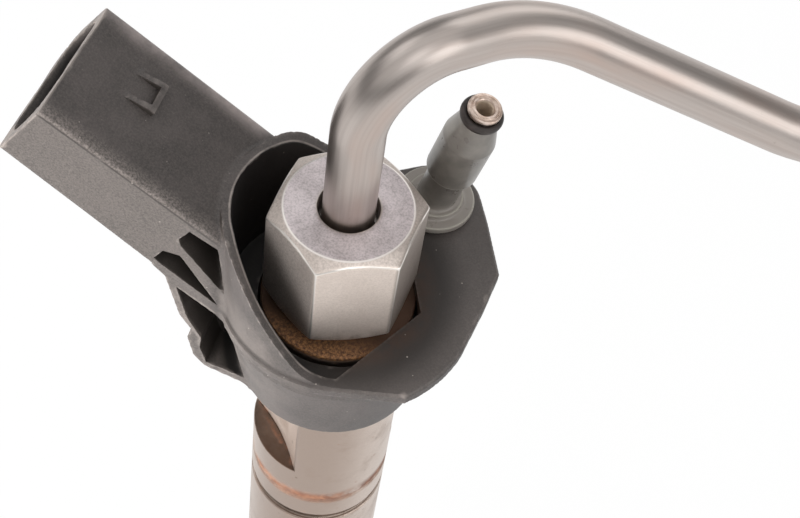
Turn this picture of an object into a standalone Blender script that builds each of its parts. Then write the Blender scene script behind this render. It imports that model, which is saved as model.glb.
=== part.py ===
"""Piezo common-rail fuel injector with its high-pressure pipe, as the pieces it is assembled from.

Metres, +Z up along the injector's axis. The origin is on that axis in the plane of the
cylinder-head seat, under the copper washer. The electrical connector points along -X.
"""

from math import atan2, ceil, cos, pi, radians, sin, sqrt, tan

import bmesh
import bpy
from mathutils import Matrix, Vector

# Fits
GAP = 0.0003  # between pieces that seat on or run in each other
WELD = 0.000002
FACETS = 40  # around the body, nuts and head
FINE_FACETS = 20  # around small inner pieces

# Copper washer, nozzle nut and nozzle
WASHER_T = 0.0015
WASHER_R = 0.0075
NOZZLE_NUT_FLOOR = 0.0037
NOZZLE_NUT_WALL = 0.00125
NOZZLE_NUT_CHAMFER = 0.0012
NOZZLE_COLLAR_R = 0.0071
NOZZLE_COLLAR_H = 0.0142
NOZZLE_SHANK_R = 0.0035
NOZZLE_SHANK_L = 0.0210
NOZZLE_TIP_R = 0.0011
NOZZLE_TIP_H = 0.0038
SEAT_HALF_ANGLE = radians(30)

# Needle group
NEEDLE_GUIDE_R = 0.0019
NEEDLE_STEM_R = 0.0015
NEEDLE_LIFT = 0.00025
NEEDLE_SPRING_L = 0.0052
NEEDLE_SPRING_WIRE_R = 0.0003
NEEDLE_SPRING_TURNS = 4
SHIM_T = 0.0008
SLEEVE_H = 0.0034
SLEEVE_WALL = 0.0010

# Plates between nozzle and body
THROTTLE_T = 0.0030
THROTTLE_BORE_R = 0.0005
VALVE_PLATE_T = 0.0060
VALVE_ROOF_T = 0.0014
VALVE_CHAMBER_R = 0.0021
BOLT_HEAD_H = 0.0013
BOLT_STEM_R = 0.0009
BOLT_PROUD = 0.0010
VALVE_SPRING_WIRE_R = 0.00016
VALVE_SPRING_TURNS = 3
DOWEL_R = 0.0007
DOWEL_DEPTH = 0.0018
DOWEL_RING_R = 0.0060
DOWEL_ANGLES = (radians(75), radians(195))

# Hydraulic coupler
VALVE_PISTON_R = 0.0022
VALVE_PISTON_L = 0.0060
COUPLER_CHAMBER_H = 0.0007
MASTER_BORE_L = 0.0080
MASTER_R = 0.0030
MASTER_FLANGE_T = 0.0020
COUPLER_SPRING_L = 0.0074
COUPLER_SPRING_WIRE_R = 0.0004
COUPLER_SPRING_TURNS = 5

# Piezo actuator
FOOT_H = 0.0037
STACK_SIDE = 0.0050
STACK_L = 0.0500
PRELOAD_WALL = 0.0005
PRELOAD_ROWS = 5
PRELOAD_SLOTS = 4
PRELOAD_SLOT_H = 0.0016
ACTUATOR_HEAD_H = 0.0072
LEAD_R = 0.0004
LEAD_SPACING = 0.0040
LEAD_OFFSET = 0.0026

# Steel body
BODY_R = 0.00986
SPIGOT_R = 0.0072
SPIGOT_H = 0.0081
BORE_R = 0.0052
BODY_HEAD_H = 0.0216
BODY_CHAMFER = 0.0004
CLAMP_FLAT_WIDTH = 0.0150
CLAMP_FLAT_H = 0.0168
CLAMP_LEDGE_DROP = 0.0328
CLAMP_ANGLE = radians(45)
GROOVE_DROP = 0.0460
GROOVE_W = 0.0018
GROOVE_DEPTH = 0.0006
SCORE_DROP = 0.0402
SCORE_W = 0.0010
SCORE_DEPTH = 0.00025
DUCT_R = 0.0006
DUCT_ANGLE = radians(-45)
DUCT_WALL = 0.0011
DUCT_SPIGOT_WALL = 0.0004
STUB_R = 0.00685
STUB_H = 0.0094
STUB_CHAMFER = 0.0005
FILTER_R = 0.0020
FILTER_L = 0.0150
FILTER_FLUTES = 8
FILTER_FLUTE_DEPTH = 0.0004
FILTER_SUMP = 0.0025

# High-pressure pipe and its two unions
PIPE_R = 0.003175
PIPE_BORE_R = 0.0012
PIPE_TIP_R = 0.0020
PIPE_TIP_DEPTH = 0.0029
PIPE_HEAD_R = 0.0047
PIPE_HEAD_RIM = 0.0005
PIPE_RISE = 0.0139
PIPE_BEND_1 = 0.0094
PIPE_DIRECTION_1 = (radians(49.5), radians(-9.0))
PIPE_RUN_1 = 0.0040
PIPE_BEND_2 = 0.0230
PIPE_DIRECTION_2 = (radians(14.5), radians(-23.0))
PIPE_RUN_2 = 0.0260
PIPE_BEND_3 = 0.0230
PIPE_DIRECTION_3 = (radians(14.5), radians(0.0))
PIPE_END_RUN = 0.0090
PIPE_FACETS = 16
NUT_FLATS = 0.0170
NUT_H = 0.0163
NUT_TOP_LAND_R = 0.0078
NUT_FOOT_LAND_R = 0.0083
NUT_CHAMFER_SLOPE = radians(32)
NUT_HOLE_R = 0.0037
NUT_THREAD_RUNOUT = 0.0015
NUT_CLEAR = 0.0021  # under the tightened nut
NUT_ANGLE = radians(26.8)
NUT_TRAVEL = 0.0060
RING_R = 0.0059
RING_LAND = 0.0009

# Moulded head
LIP_T = 0.0011  # plastic over the body's top step
PLATE_T = 0.0016
PLATE_STAND = 0.00287  # beyond the collar
PLATE_ARC = (radians(-43.5), radians(-11.5))
PLATE_CORNER = (0.0184, 0.0094)
COLLAR_WALL = 0.00464
COLLAR_FOOT = 0.0030
RIM_H = 0.0148
RIM_FLAT_X = -0.0110
RIM_FOOT_X = 0.0012
RIM_ROUND = 0.0016
RECESS_WALL = 0.0013
RECESS_END = radians(72.4)  # where its round wall stops and its end walls run in
RECESS_NOSE_IN = 0.0032  # its nose round the nut, smaller than the collar and off its axis
RECESS_NOSE_SHIFT = 0.0023
RECESS_NOSE_END = radians(27.7)
RECESS_DEPTH = 0.0028
SKIRT_H = 0.0134
SKIRT_TOP_WALL = 0.00424
SKIRT_FOOT_WALL = 0.00194
CONNECTOR_TILT = radians(32.6)
CONNECTOR_REACH = 0.0435
CONNECTOR_ROOT = 0.0100
CONNECTOR_W = 0.0182
CONNECTOR_TOP = 0.00448
CONNECTOR_H = 0.0107
CONNECTOR_ROUND = 0.0008
SOCKET_WALL = 0.0013
SOCKET_DEPTH = 0.0160
SOCKET_ROUND = 0.0010
LATCH_W = 0.0044
LATCH_L = 0.0035
LATCH_H = 0.0011
LATCH_BAR = 0.0008
LATCH_OFFSET = 0.0022
LATCH_SETBACK = 0.0077
GUSSET_INSET = 0.0001
GUSSET_SETBACK = 0.0226  # from the connector's mouth
GUSSET_LAP = 0.0010
GUSSET_LIP = 0.0008
GUSSET_ROOT = 0.0020
GUSSET_BACK = 0.0040
GUSSET_BROW_OUT = 0.0056  # front edge: out from the skirt, and over or under the plate
GUSSET_BROW_UP = 0.0038
GUSSET_CHIN_OUT = 0.0034
GUSSET_CHIN_DOWN = 0.0039
GUSSET_WAIST_OUT = 0.0022
GUSSET_WAIST_DOWN = 0.0070
GUSSET_KNEE_OUT = 0.0027
GUSSET_KNEE_DOWN = 0.0097
GUSSET_SHIN_OUT = 0.0019
GUSSET_SHIN_DOWN = 0.0132
GUSSET_TOE_OUT = 0.0001
GUSSET_TOE_UP = 0.0013
WEB_T = 0.0072
RIB_T = 0.0017
RIB_EDGE = 0.0003
RIB_SPREAD = 0.0038
RIB_ROOT_IN = 0.0032
RIB_ROOT_UP = 0.0030
RIB_ROOT_T = 0.0029
POCKET_SETBACK = 0.0222
POCKET_ROOF = 0.0020
POCKET_ROOF_L = 0.0038
POCKET_STEP = 0.0010
POCKET_H = 0.0023
POCKET_BROW_T = 0.0021
POCKET_RIM = 0.0010
POCKET_WAIST_T = 0.0014
POCKET_TOE_T = 0.0020
POCKET_ROOT_IN = 0.0031
POCKET_FOOT_IN = 0.0033
POCKET_FOOT_T = 0.0011
PIN_W = 0.0016
PIN_T = 0.0008
PIN_REACH = 0.0090
PIN_LEG_OUT = 0.0006
PIN_TAIL_DROP = 0.0094
PIN_TAIL_L = 0.0027

# Return nipple
NIPPLE_PLACE = (0.0072, 0.0168)
NIPPLE_LEAN = radians(11)
NIPPLE_LEAN_ANGLE = radians(-12)
NIPPLE_DISC_R = 0.0052
NIPPLE_DISC_T = 0.0010
NIPPLE_STEP_R = 0.0036
NIPPLE_STEP_T = 0.0007
NIPPLE_LOBE_MARGIN = 0.0012
NIPPLE_SPIGOT_R = 0.0025
NIPPLE_SPIGOT_L = 0.0036
NIPPLE_STEM_R = 0.00265
NIPPLE_STEM_L = 0.0074
NIPPLE_LEDGE = 0.0003
NIPPLE_SLEEVE_R = 0.00338
NIPPLE_SLEEVE_END = 0.0152
NIPPLE_TOP_R = 0.0023
NIPPLE_L = 0.0194
BUSH_BORE_R = 0.00105
BUSH_R = 0.0015
BUSH_DEPTH = 0.0090
BUSH_FLANGE_R = 0.00216
BUSH_FLANGE_T = 0.0010
O_RING_WIRE_R = 0.00048
BOSS_MARGIN = 0.0018
BOSS_FLOOR = 0.0012
RETURN_R = 0.0007

# Heights of the stack, from the cylinder-head seat upwards
Z_NOZZLE_NUT = WASHER_T + GAP
Z_NOZZLE = Z_NOZZLE_NUT + NOZZLE_NUT_FLOOR + GAP
Z_NOZZLE_TOP = Z_NOZZLE + NOZZLE_COLLAR_H
Z_THROTTLE = Z_NOZZLE_TOP + GAP
Z_VALVE_PLATE = Z_THROTTLE + THROTTLE_T + GAP
Z_SPIGOT = Z_VALVE_PLATE + VALVE_PLATE_T + GAP
Z_SHOULDER = Z_SPIGOT + SPIGOT_H
Z_VALVE_PISTON = Z_SPIGOT + BOLT_PROUD + GAP
Z_COUPLER_STEP = Z_VALVE_PISTON + VALVE_PISTON_L + COUPLER_CHAMBER_H
Z_COUPLER_TOP = Z_COUPLER_STEP + MASTER_BORE_L
Z_MASTER_FLANGE = Z_COUPLER_TOP + GAP + COUPLER_SPRING_L + GAP
Z_FOOT = Z_MASTER_FLANGE + MASTER_FLANGE_T + GAP
Z_STACK = Z_FOOT + FOOT_H + GAP
Z_ACTUATOR_HEAD = Z_STACK + STACK_L + GAP
Z_BORE_TOP = Z_ACTUATOR_HEAD + ACTUATOR_HEAD_H + GAP
Z_STEP = Z_BORE_TOP + BODY_HEAD_H
Z_STUB = Z_STEP + STUB_H
Z_PIPE_TIP = Z_STUB - PIPE_TIP_DEPTH
Z_FILTER = Z_PIPE_TIP - GAP - FILTER_L
Z_PLATE = Z_STEP + GAP + LIP_T
Z_RECESS = Z_PLATE - RECESS_DEPTH
Z_SKIRT = Z_PLATE - COLLAR_FOOT - SKIRT_H
Z_LEADS = Z_PLATE - PIN_TAIL_DROP
Z_RETURN = Z_PLATE - GAP - NIPPLE_SPIGOT_L - RETURN_R

BODY_SEAT_R = BODY_R + GAP
PIN_LEG_X = -(BODY_SEAT_R + SKIRT_TOP_WALL + PIN_LEG_OUT)
COLLAR_R = BODY_SEAT_R + COLLAR_WALL
RECESS_R = COLLAR_R - RECESS_WALL
RECESS_NOSE_R = COLLAR_R - RECESS_NOSE_IN
PLATE_ARC_R = COLLAR_R + PLATE_STAND
NOZZLE_NUT_BORE_R = max(NOZZLE_COLLAR_R, SPIGOT_R) + GAP
NOZZLE_NUT_R = NOZZLE_NUT_BORE_R + NOZZLE_NUT_WALL
DUCT_FOOT_R = SPIGOT_R - DUCT_SPIGOT_WALL - DUCT_R
DUCT_TOP_R = BODY_R - DUCT_WALL - DUCT_R
INNER_R = BORE_R - GAP  # outside of what slides into the body's bore
CONE = tan(SEAT_HALF_ANGLE)
CONE_GAP = GAP / cos(SEAT_HALF_ANGLE)

WORLD = Matrix.Identity(4)


def remove_everything():
    for old in list(bpy.data.objects):
        bpy.data.objects.remove(old, do_unlink=True)
    for old in list(bpy.data.collections):
        bpy.data.collections.remove(old)


remove_everything()
PARTS = bpy.data.collections.new("fuel_injector")
TOOLS = bpy.data.collections.new("cutters")
for group in (PARTS, TOOLS):
    bpy.context.scene.collection.children.link(group)


def material(name, colour, roughness, metallic):
    made = bpy.data.materials.new(name)
    made.use_nodes = True
    shader = made.node_tree.nodes["Principled BSDF"]
    shader.inputs["Base Color"].default_value = (*colour, 1)
    shader.inputs["Roughness"].default_value = roughness
    shader.inputs["Metallic"].default_value = metallic
    return made


BODY_STEEL = material("body_steel", (0.62, 0.56, 0.52), 0.38, 1.0)
NUT_STEEL = material("nut_steel", (0.50, 0.49, 0.48), 0.42, 1.0)
PIPE_STEEL = material("pipe_steel", (0.55, 0.51, 0.48), 0.33, 1.0)
INNER_STEEL = material("inner_steel", (0.66, 0.66, 0.67), 0.25, 1.0)
SPRING_STEEL = material("spring_steel", (0.42, 0.42, 0.44), 0.35, 1.0)
HEAD_PLASTIC = material("head_plastic", (0.055, 0.050, 0.048), 0.55, 0.0)
NIPPLE_PLASTIC = material("nipple_plastic", (0.20, 0.20, 0.18), 0.50, 0.0)
RUBBER = material("rubber", (0.012, 0.012, 0.012), 0.65, 0.0)
TINNED_BRASS = material("tinned_brass", (0.70, 0.66, 0.56), 0.30, 1.0)
COPPER = material("copper", (0.72, 0.38, 0.24), 0.35, 1.0)
CERAMIC = material("ceramic", (0.33, 0.29, 0.22), 0.60, 0.0)


def finish(name, shape, finish_material=None, frame=WORLD):
    """A named object from a bmesh: a part if it has a material, otherwise a hidden tool."""
    bmesh.ops.remove_doubles(shape, verts=shape.verts, dist=1e-7)
    bmesh.ops.recalc_face_normals(shape, faces=shape.faces)
    shape.transform(frame)
    mesh = bpy.data.meshes.new(name)
    shape.to_mesh(mesh)
    shape.free()
    made = bpy.data.objects.new(name, mesh)
    if finish_material:
        mesh.materials.append(finish_material)
        mesh.shade_smooth()
        mesh.set_sharp_from_angle(angle=radians(30))
        PARTS.objects.link(made)
    else:
        made.hide_render = True
        made.display_type = "WIRE"
        TOOLS.objects.link(made)
    return made


def turn(name, profile, finish_material=None, frame=WORLD, ring=False, facets=FACETS):
    """Revolve a profile of (radius, height). A ring's profile closes on itself, off the axis."""
    shape = bmesh.new()
    points = [shape.verts.new((r, 0, z)) for r, z in profile]
    ends = points[1:] + points[:1] if ring else points[1:]
    lines = [shape.edges.new(pair) for pair in zip(points, ends)]
    bmesh.ops.spin(
        shape, geom=points + lines, cent=(0, 0, 0), axis=(0, 0, 1), dvec=(0, 0, 0),
        angle=2 * pi, steps=facets, use_merge=True, use_duplicate=False,
    )
    return finish(name, shape, finish_material, frame)


def rod(name, start, end, radius, finish_material=None, facets=FINE_FACETS):
    """A round bar or drill between two points."""
    start, end = Vector(start), Vector(end)
    along = end - start
    frame = Matrix.Translation(start) @ along.to_track_quat("Z", "X").to_matrix().to_4x4()
    profile = [(0, 0), (radius, 0), (radius, along.length), (0, along.length)]
    return turn(name, profile, finish_material, frame, facets=facets)


def prism(name, outline, low, high, finish_material=None, frame=WORLD):
    """Extrude an outline in the frame's XY plane from low to high along its Z."""
    shape = bmesh.new()
    base = [shape.verts.new((x, y, low)) for x, y in outline]
    face = shape.faces.new(base)
    grown = bmesh.ops.extrude_face_region(shape, geom=[face])
    lifted = [v for v in grown["geom"] if isinstance(v, bmesh.types.BMVert)]
    bmesh.ops.translate(shape, verts=lifted, vec=(0, 0, high - low))
    return finish(name, shape, finish_material, frame)


def tube(name, path, radius, sides, finish_material=None, radii=None):
    """A round bar along a path: a curve with a round bevel, made a mesh so that it can be cut."""
    curve = bpy.data.curves.new(name, "CURVE")
    curve.dimensions = "3D"
    curve.bevel_depth = radius
    curve.bevel_resolution = (sides - 4) // 2
    curve.use_fill_caps = True
    line = curve.splines.new("POLY")
    line.points.add(len(path) - 1)
    for i, (point, place) in enumerate(zip(line.points, path)):
        point.co = (*place, 1)
        point.radius = radii[i] / radius if radii else 1
    guide = bpy.data.objects.new(name, curve)
    bpy.context.scene.collection.objects.link(guide)
    mesh = bpy.data.meshes.new_from_object(guide.evaluated_get(bpy.context.evaluated_depsgraph_get()))
    shape = bmesh.new()
    shape.from_mesh(mesh)
    bpy.data.objects.remove(guide)
    bpy.data.curves.remove(curve)
    bpy.data.meshes.remove(mesh)
    return finish(name, shape, finish_material)


def strip(points, thickness):
    """The outline of a bent strip: its mid-line moved half a thickness to each side, mitred."""
    ways = [(b - a).normalized() for a, b in zip(points, points[1:])]
    ways = [ways[0]] + ways + [ways[-1]]
    left, right = [], []
    for point, before, after in zip(points, ways, ways[1:]):
        mitre = before.orthogonal() + after.orthogonal()
        mitre *= thickness / mitre.length_squared
        left.append(point + mitre)
        right.append(point - mitre)
    return [tuple(point) for point in left + right[::-1]]


def circle(radius, facets, start=0.0):
    turns = [start + 2 * pi * i / facets for i in range(facets)]
    return [(radius * cos(a), radius * sin(a)) for a in turns]


def arc(centre, radius, start, end, steps):
    turns = [start + (end - start) * i / steps for i in range(steps + 1)]
    return [(centre[0] + radius * cos(a), centre[1] + radius * sin(a)) for a in turns]


def rounded_box(width, low, high, radius, steps=5):
    """A rectangle about x = 0 with round corners."""
    x, top, foot = width / 2 - radius, high - radius, low + radius
    corners = []
    for quarter, centre in enumerate(((x, top), (-x, top), (-x, foot), (x, foot))):
        corners += arc(centre, radius, quarter * pi / 2, (quarter + 1) * pi / 2, steps)
    return corners


def combine(target, tool, operation="DIFFERENCE"):
    step = target.modifiers.new(tool.name, "BOOLEAN")
    step.operation = operation
    step.solver = "EXACT"
    step.object = tool
    return target


def cut(target, *tools):
    for tool in tools:
        combine(target, tool)


def fuse(target, *tools):
    for tool in tools:
        combine(target, tool, "UNION")


def polar(radius, angle, z=0.0):
    return Vector((radius * cos(angle), radius * sin(angle), z))


def heading(azimuth, elevation):
    return Vector((cos(elevation) * cos(azimuth), cos(elevation) * sin(azimuth), sin(elevation)))


def coil(name, radius, wire, low, high, turns, finish_material):
    """A compression spring: one unbroken wire whose helix climbs at a steady rate."""
    points_per_turn = 10
    count = turns * points_per_turn
    rise = high - low - 2 * wire
    path = [
        polar(radius, 2 * pi * i / points_per_turn, low + wire + rise * i / count)
        for i in range(count + 1)
    ]
    apart = [
        (path[i] - path[j]).length
        for i in range(len(path))
        for j in range(i + points_per_turn // 2, len(path))
    ]
    print(f"{name}: least gap to itself {1000 * (min(apart) - 2 * wire):.2f} mm")
    return tube(name, path, wire, 6, finish_material)


# Copper washer and nozzle nut

turn(
    "copper_washer",
    [
        (NOZZLE_SHANK_R + GAP, 0), (NOZZLE_SHANK_R + GAP, WASHER_T),
        (WASHER_R, WASHER_T), (WASHER_R, 0),
    ],
    COPPER, ring=True,
)

nut_hole = NOZZLE_SHANK_R + GAP
turn(
    "nozzle_nut",
    [
        (nut_hole, Z_NOZZLE_NUT),
        (NOZZLE_NUT_R - NOZZLE_NUT_CHAMFER, Z_NOZZLE_NUT),
        (NOZZLE_NUT_R, Z_NOZZLE_NUT + NOZZLE_NUT_CHAMFER),
        (NOZZLE_NUT_R, Z_SHOULDER - GAP - BODY_CHAMFER),
        (NOZZLE_NUT_R - BODY_CHAMFER, Z_SHOULDER - GAP),
        (NOZZLE_NUT_BORE_R, Z_SHOULDER - GAP),
        (NOZZLE_NUT_BORE_R, Z_NOZZLE_NUT + NOZZLE_NUT_FLOOR),
        (nut_hole, Z_NOZZLE_NUT + NOZZLE_NUT_FLOOR),
    ],
    NUT_STEEL, ring=True,
)

# Nozzle body: collar, shank and tip outside; spring chamber, needle bore and seat inside

SPRING_CHAMBER_R = NEEDLE_GUIDE_R + 2 * GAP + SLEEVE_WALL + GAP
Z_SHANK_END = Z_NOZZLE - NOZZLE_SHANK_L
Z_NOZZLE_TIP = Z_SHANK_END - NOZZLE_TIP_H
Z_SEAT = Z_NOZZLE_TIP + NOZZLE_TIP_R
Z_SEAT_TOP = Z_SEAT + (NEEDLE_STEM_R + GAP) / CONE
Z_SLEEVE_TOP = Z_NOZZLE_TOP
Z_SLEEVE = Z_SLEEVE_TOP - SLEEVE_H
Z_SHIM_TOP = Z_SLEEVE - GAP - NEEDLE_SPRING_L - GAP
Z_SHIM = Z_SHIM_TOP - SHIM_T
Z_CHAMBER = Z_SHIM - GAP - NEEDLE_LIFT

nozzle_body = turn(
    "nozzle_body",
    [
        (0, Z_SEAT), (NEEDLE_STEM_R + GAP, Z_SEAT_TOP),
        (NEEDLE_STEM_R + GAP, Z_CHAMBER), (SPRING_CHAMBER_R, Z_CHAMBER),
        (SPRING_CHAMBER_R, Z_NOZZLE_TOP), (NOZZLE_COLLAR_R, Z_NOZZLE_TOP),
        (NOZZLE_COLLAR_R, Z_NOZZLE + BODY_CHAMFER),
        (NOZZLE_COLLAR_R - BODY_CHAMFER, Z_NOZZLE),
        (NOZZLE_SHANK_R, Z_NOZZLE), (NOZZLE_SHANK_R, Z_SHANK_END),
    ]
    + [
        (NOZZLE_TIP_R * cos(a), Z_NOZZLE_TIP + NOZZLE_TIP_R * (1 - sin(a)))
        for a in (radians(15), radians(40), radians(65))
    ]
    + [(0, Z_NOZZLE_TIP)],
    INNER_STEEL, facets=FINE_FACETS + 4,
)
duct_seat = polar(DUCT_FOOT_R, DUCT_ANGLE)
cut(
    nozzle_body,
    rod(
        "cut_nozzle_duct",
        duct_seat + Vector((0, 0, Z_NOZZLE_TOP + GAP)),
        polar(SPRING_CHAMBER_R - DUCT_R, DUCT_ANGLE, Z_CHAMBER + 2 * DUCT_R),
        DUCT_R, facets=12,
    ),
)

# Needle group: the spring presses the needle on its seat and the sleeve on the throttle plate

turn(
    "nozzle_needle",
    [
        (0, Z_SEAT + CONE_GAP / CONE),
        (NEEDLE_STEM_R, Z_SEAT + CONE_GAP / CONE + NEEDLE_STEM_R / CONE),
        (NEEDLE_STEM_R, Z_SHIM_TOP + GAP),
        (NEEDLE_GUIDE_R, Z_SHIM_TOP + GAP + NEEDLE_GUIDE_R - NEEDLE_STEM_R),
        (NEEDLE_GUIDE_R, Z_SLEEVE_TOP - NEEDLE_LIFT - GAP),
        (0, Z_SLEEVE_TOP - NEEDLE_LIFT - GAP),
    ],
    INNER_STEEL, facets=FINE_FACETS,
)
sleeve_bore = NEEDLE_GUIDE_R + GAP
for ring_name, inner, low, high in (
    ("control_sleeve", sleeve_bore, Z_SLEEVE, Z_SLEEVE_TOP),
    ("spring_shim", NEEDLE_STEM_R + GAP, Z_SHIM, Z_SHIM_TOP),
):
    outer = sleeve_bore + SLEEVE_WALL
    turn(
        ring_name, [(inner, low), (inner, high), (outer, high), (outer, low)],
        INNER_STEEL, ring=True, facets=FINE_FACETS,
    )
coil(
    "needle_spring", sleeve_bore + SLEEVE_WALL - NEEDLE_SPRING_WIRE_R, NEEDLE_SPRING_WIRE_R,
    Z_SHIM_TOP + GAP, Z_SLEEVE - GAP, NEEDLE_SPRING_TURNS, SPRING_STEEL,
)

# Throttle plate and valve plate, lined up by two dowels, with the pressure duct through both

throttle_plate = turn(
    "throttle_plate",
    [
        (THROTTLE_BORE_R, Z_THROTTLE), (THROTTLE_BORE_R, Z_THROTTLE + THROTTLE_T),
        (NOZZLE_COLLAR_R, Z_THROTTLE + THROTTLE_T), (NOZZLE_COLLAR_R, Z_THROTTLE),
    ],
    INNER_STEEL, ring=True, facets=FINE_FACETS + 4,
)
Z_VALVE_ROOF = Z_VALVE_PLATE + VALVE_PLATE_T - VALVE_ROOF_T
stem_hole = BOLT_STEM_R + GAP
valve_plate = turn(
    "valve_plate",
    [
        (VALVE_CHAMBER_R, Z_VALVE_PLATE), (VALVE_CHAMBER_R, Z_VALVE_ROOF),
        (stem_hole, Z_VALVE_ROOF), (stem_hole, Z_VALVE_PLATE + VALVE_PLATE_T),
        (NOZZLE_COLLAR_R, Z_VALVE_PLATE + VALVE_PLATE_T), (NOZZLE_COLLAR_R, Z_VALVE_PLATE),
    ],
    INNER_STEEL, ring=True, facets=FINE_FACETS + 4,
)
plate_duct = rod(
    "cut_plate_duct", duct_seat + Vector((0, 0, Z_THROTTLE - GAP)),
    duct_seat + Vector((0, 0, Z_SPIGOT)), DUCT_R, facets=12,
)
cut(throttle_plate, plate_duct)
cut(valve_plate, plate_duct)

dowel_holes = []
for number, angle in enumerate(DOWEL_ANGLES, 1):
    place = polar(DOWEL_RING_R, angle)
    low = place + Vector((0, 0, Z_THROTTLE + GAP))
    high = place + Vector((0, 0, Z_SPIGOT + DOWEL_DEPTH))
    rod(f"dowel_pin_{number}", low, high, DOWEL_R, INNER_STEEL, facets=12)
    beyond = Vector((0, 0, 2 * GAP))
    hole = rod(f"cut_dowel_{number}", low - beyond, high + beyond / 2, DOWEL_R + GAP, facets=12)
    dowel_holes.append(hole)
    cut(throttle_plate, hole)
    cut(valve_plate, hole)

# Servo valve: a mushroom bolt held shut by its spring and pushed open from above

Z_BOLT_HEAD_TOP = Z_VALVE_ROOF - GAP
Z_BOLT_HEAD = Z_BOLT_HEAD_TOP - BOLT_HEAD_H
BOLT_HEAD_R = VALVE_CHAMBER_R - GAP
turn(
    "valve_bolt",
    [
        (0, Z_BOLT_HEAD), (BOLT_HEAD_R, Z_BOLT_HEAD),
        (BOLT_HEAD_R, Z_BOLT_HEAD_TOP - BOLT_HEAD_H / 2), (BOLT_STEM_R, Z_BOLT_HEAD_TOP),
        (BOLT_STEM_R, Z_SPIGOT + BOLT_PROUD), (0, Z_SPIGOT + BOLT_PROUD),
    ],
    INNER_STEEL, facets=FINE_FACETS,
)
coil(
    "valve_spring", BOLT_HEAD_R - VALVE_SPRING_WIRE_R, VALVE_SPRING_WIRE_R,
    Z_VALVE_PLATE, Z_BOLT_HEAD - GAP, VALVE_SPRING_TURNS, SPRING_STEEL,
)

# Hydraulic coupler: a large piston above, a small one below, in one stepped cylinder

slave_bore, master_bore = VALVE_PISTON_R + GAP, MASTER_R + GAP
turn(
    "coupler_cylinder",
    [
        (slave_bore, Z_SPIGOT), (slave_bore, Z_COUPLER_STEP), (master_bore, Z_COUPLER_STEP),
        (master_bore, Z_COUPLER_TOP), (INNER_R, Z_COUPLER_TOP), (INNER_R, Z_SPIGOT),
    ],
    INNER_STEEL, ring=True, facets=FINE_FACETS + 4,
)
rod(
    "valve_piston", (0, 0, Z_VALVE_PISTON), (0, 0, Z_VALVE_PISTON + VALVE_PISTON_L),
    VALVE_PISTON_R, INNER_STEEL,
)
Z_MASTER = Z_COUPLER_STEP + GAP
turn(
    "coupler_piston",
    [
        (0, Z_MASTER), (MASTER_R, Z_MASTER), (MASTER_R, Z_MASTER_FLANGE),
        (INNER_R - GAP, Z_MASTER_FLANGE), (INNER_R - GAP, Z_MASTER_FLANGE + MASTER_FLANGE_T),
        (0, Z_MASTER_FLANGE + MASTER_FLANGE_T),
    ],
    INNER_STEEL, facets=FINE_FACETS + 4,
)
coil(
    "coupler_spring", MASTER_R + GAP + COUPLER_SPRING_WIRE_R, COUPLER_SPRING_WIRE_R,
    Z_COUPLER_TOP + GAP, Z_MASTER_FLANGE - GAP, COUPLER_SPRING_TURNS, SPRING_STEEL,
)

# Piezo actuator: the stack stands between foot and head inside a slotted preload sleeve

rod("actuator_foot", (0, 0, Z_FOOT), (0, 0, Z_FOOT + FOOT_H), INNER_R - GAP, INNER_STEEL)
half = STACK_SIDE / 2
prism(
    "piezo_stack", [(half, half), (-half, half), (-half, -half), (half, -half)],
    Z_STACK, Z_STACK + STACK_L, CERAMIC,
)
preload_bore = half * sqrt(2) + GAP
preload_outer = preload_bore + PRELOAD_WALL
preload_sleeve = turn(
    "preload_sleeve",
    [
        (preload_bore, Z_STACK), (preload_bore, Z_STACK + STACK_L),
        (preload_outer, Z_STACK + STACK_L), (preload_outer, Z_STACK),
    ],
    SPRING_STEEL, ring=True, facets=FINE_FACETS,
)
slots = bmesh.new()
row_pitch = STACK_L / (PRELOAD_ROWS + 1)
for row in range(PRELOAD_ROWS):
    for slot in range(PRELOAD_SLOTS):
        angle = 2 * pi * (slot + row % 2 / 2) / PRELOAD_SLOTS
        centre = polar(preload_outer, angle, Z_STACK + row_pitch * (row + 1))
        place = Matrix.Translation(centre) @ Matrix.Rotation(angle, 4, "Z")
        size = Matrix.Diagonal((4 * PRELOAD_WALL, preload_outer, PRELOAD_SLOT_H, 1))
        bmesh.ops.create_cube(slots, size=1, matrix=place @ size)
cut(preload_sleeve, finish("cut_preload_slots", slots))

actuator_head = rod(
    "actuator_head", (0, 0, Z_ACTUATOR_HEAD), (0, 0, Z_ACTUATOR_HEAD + ACTUATOR_HEAD_H),
    INNER_R, INNER_STEEL,
)

# Connector frame: its own z runs out of the socket, its y up out of the top face

conn_out = heading(pi, CONNECTOR_TILT)
conn_up = Vector((sin(CONNECTOR_TILT), 0, cos(CONNECTOR_TILT)))
conn_origin = Vector((0, 0, Z_PLATE))
CONNECTOR = Matrix.Translation(conn_origin) @ Matrix(
    (Vector((0, -1, 0)), conn_up, conn_out)
).transposed().to_4x4()
SIDE_ON = Matrix(((1, 0, 0, 0), (0, 0, -1, 0), (0, 1, 0, 0), (0, 0, 0, 1)))  # XY drawing to XZ


def on_connector(reach, up, across=0.0):
    return conn_origin + conn_out * reach + conn_up * up + Vector((0, across, 0))


# Contact blades and the actuator's two leads, with the channels that hold them

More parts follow.
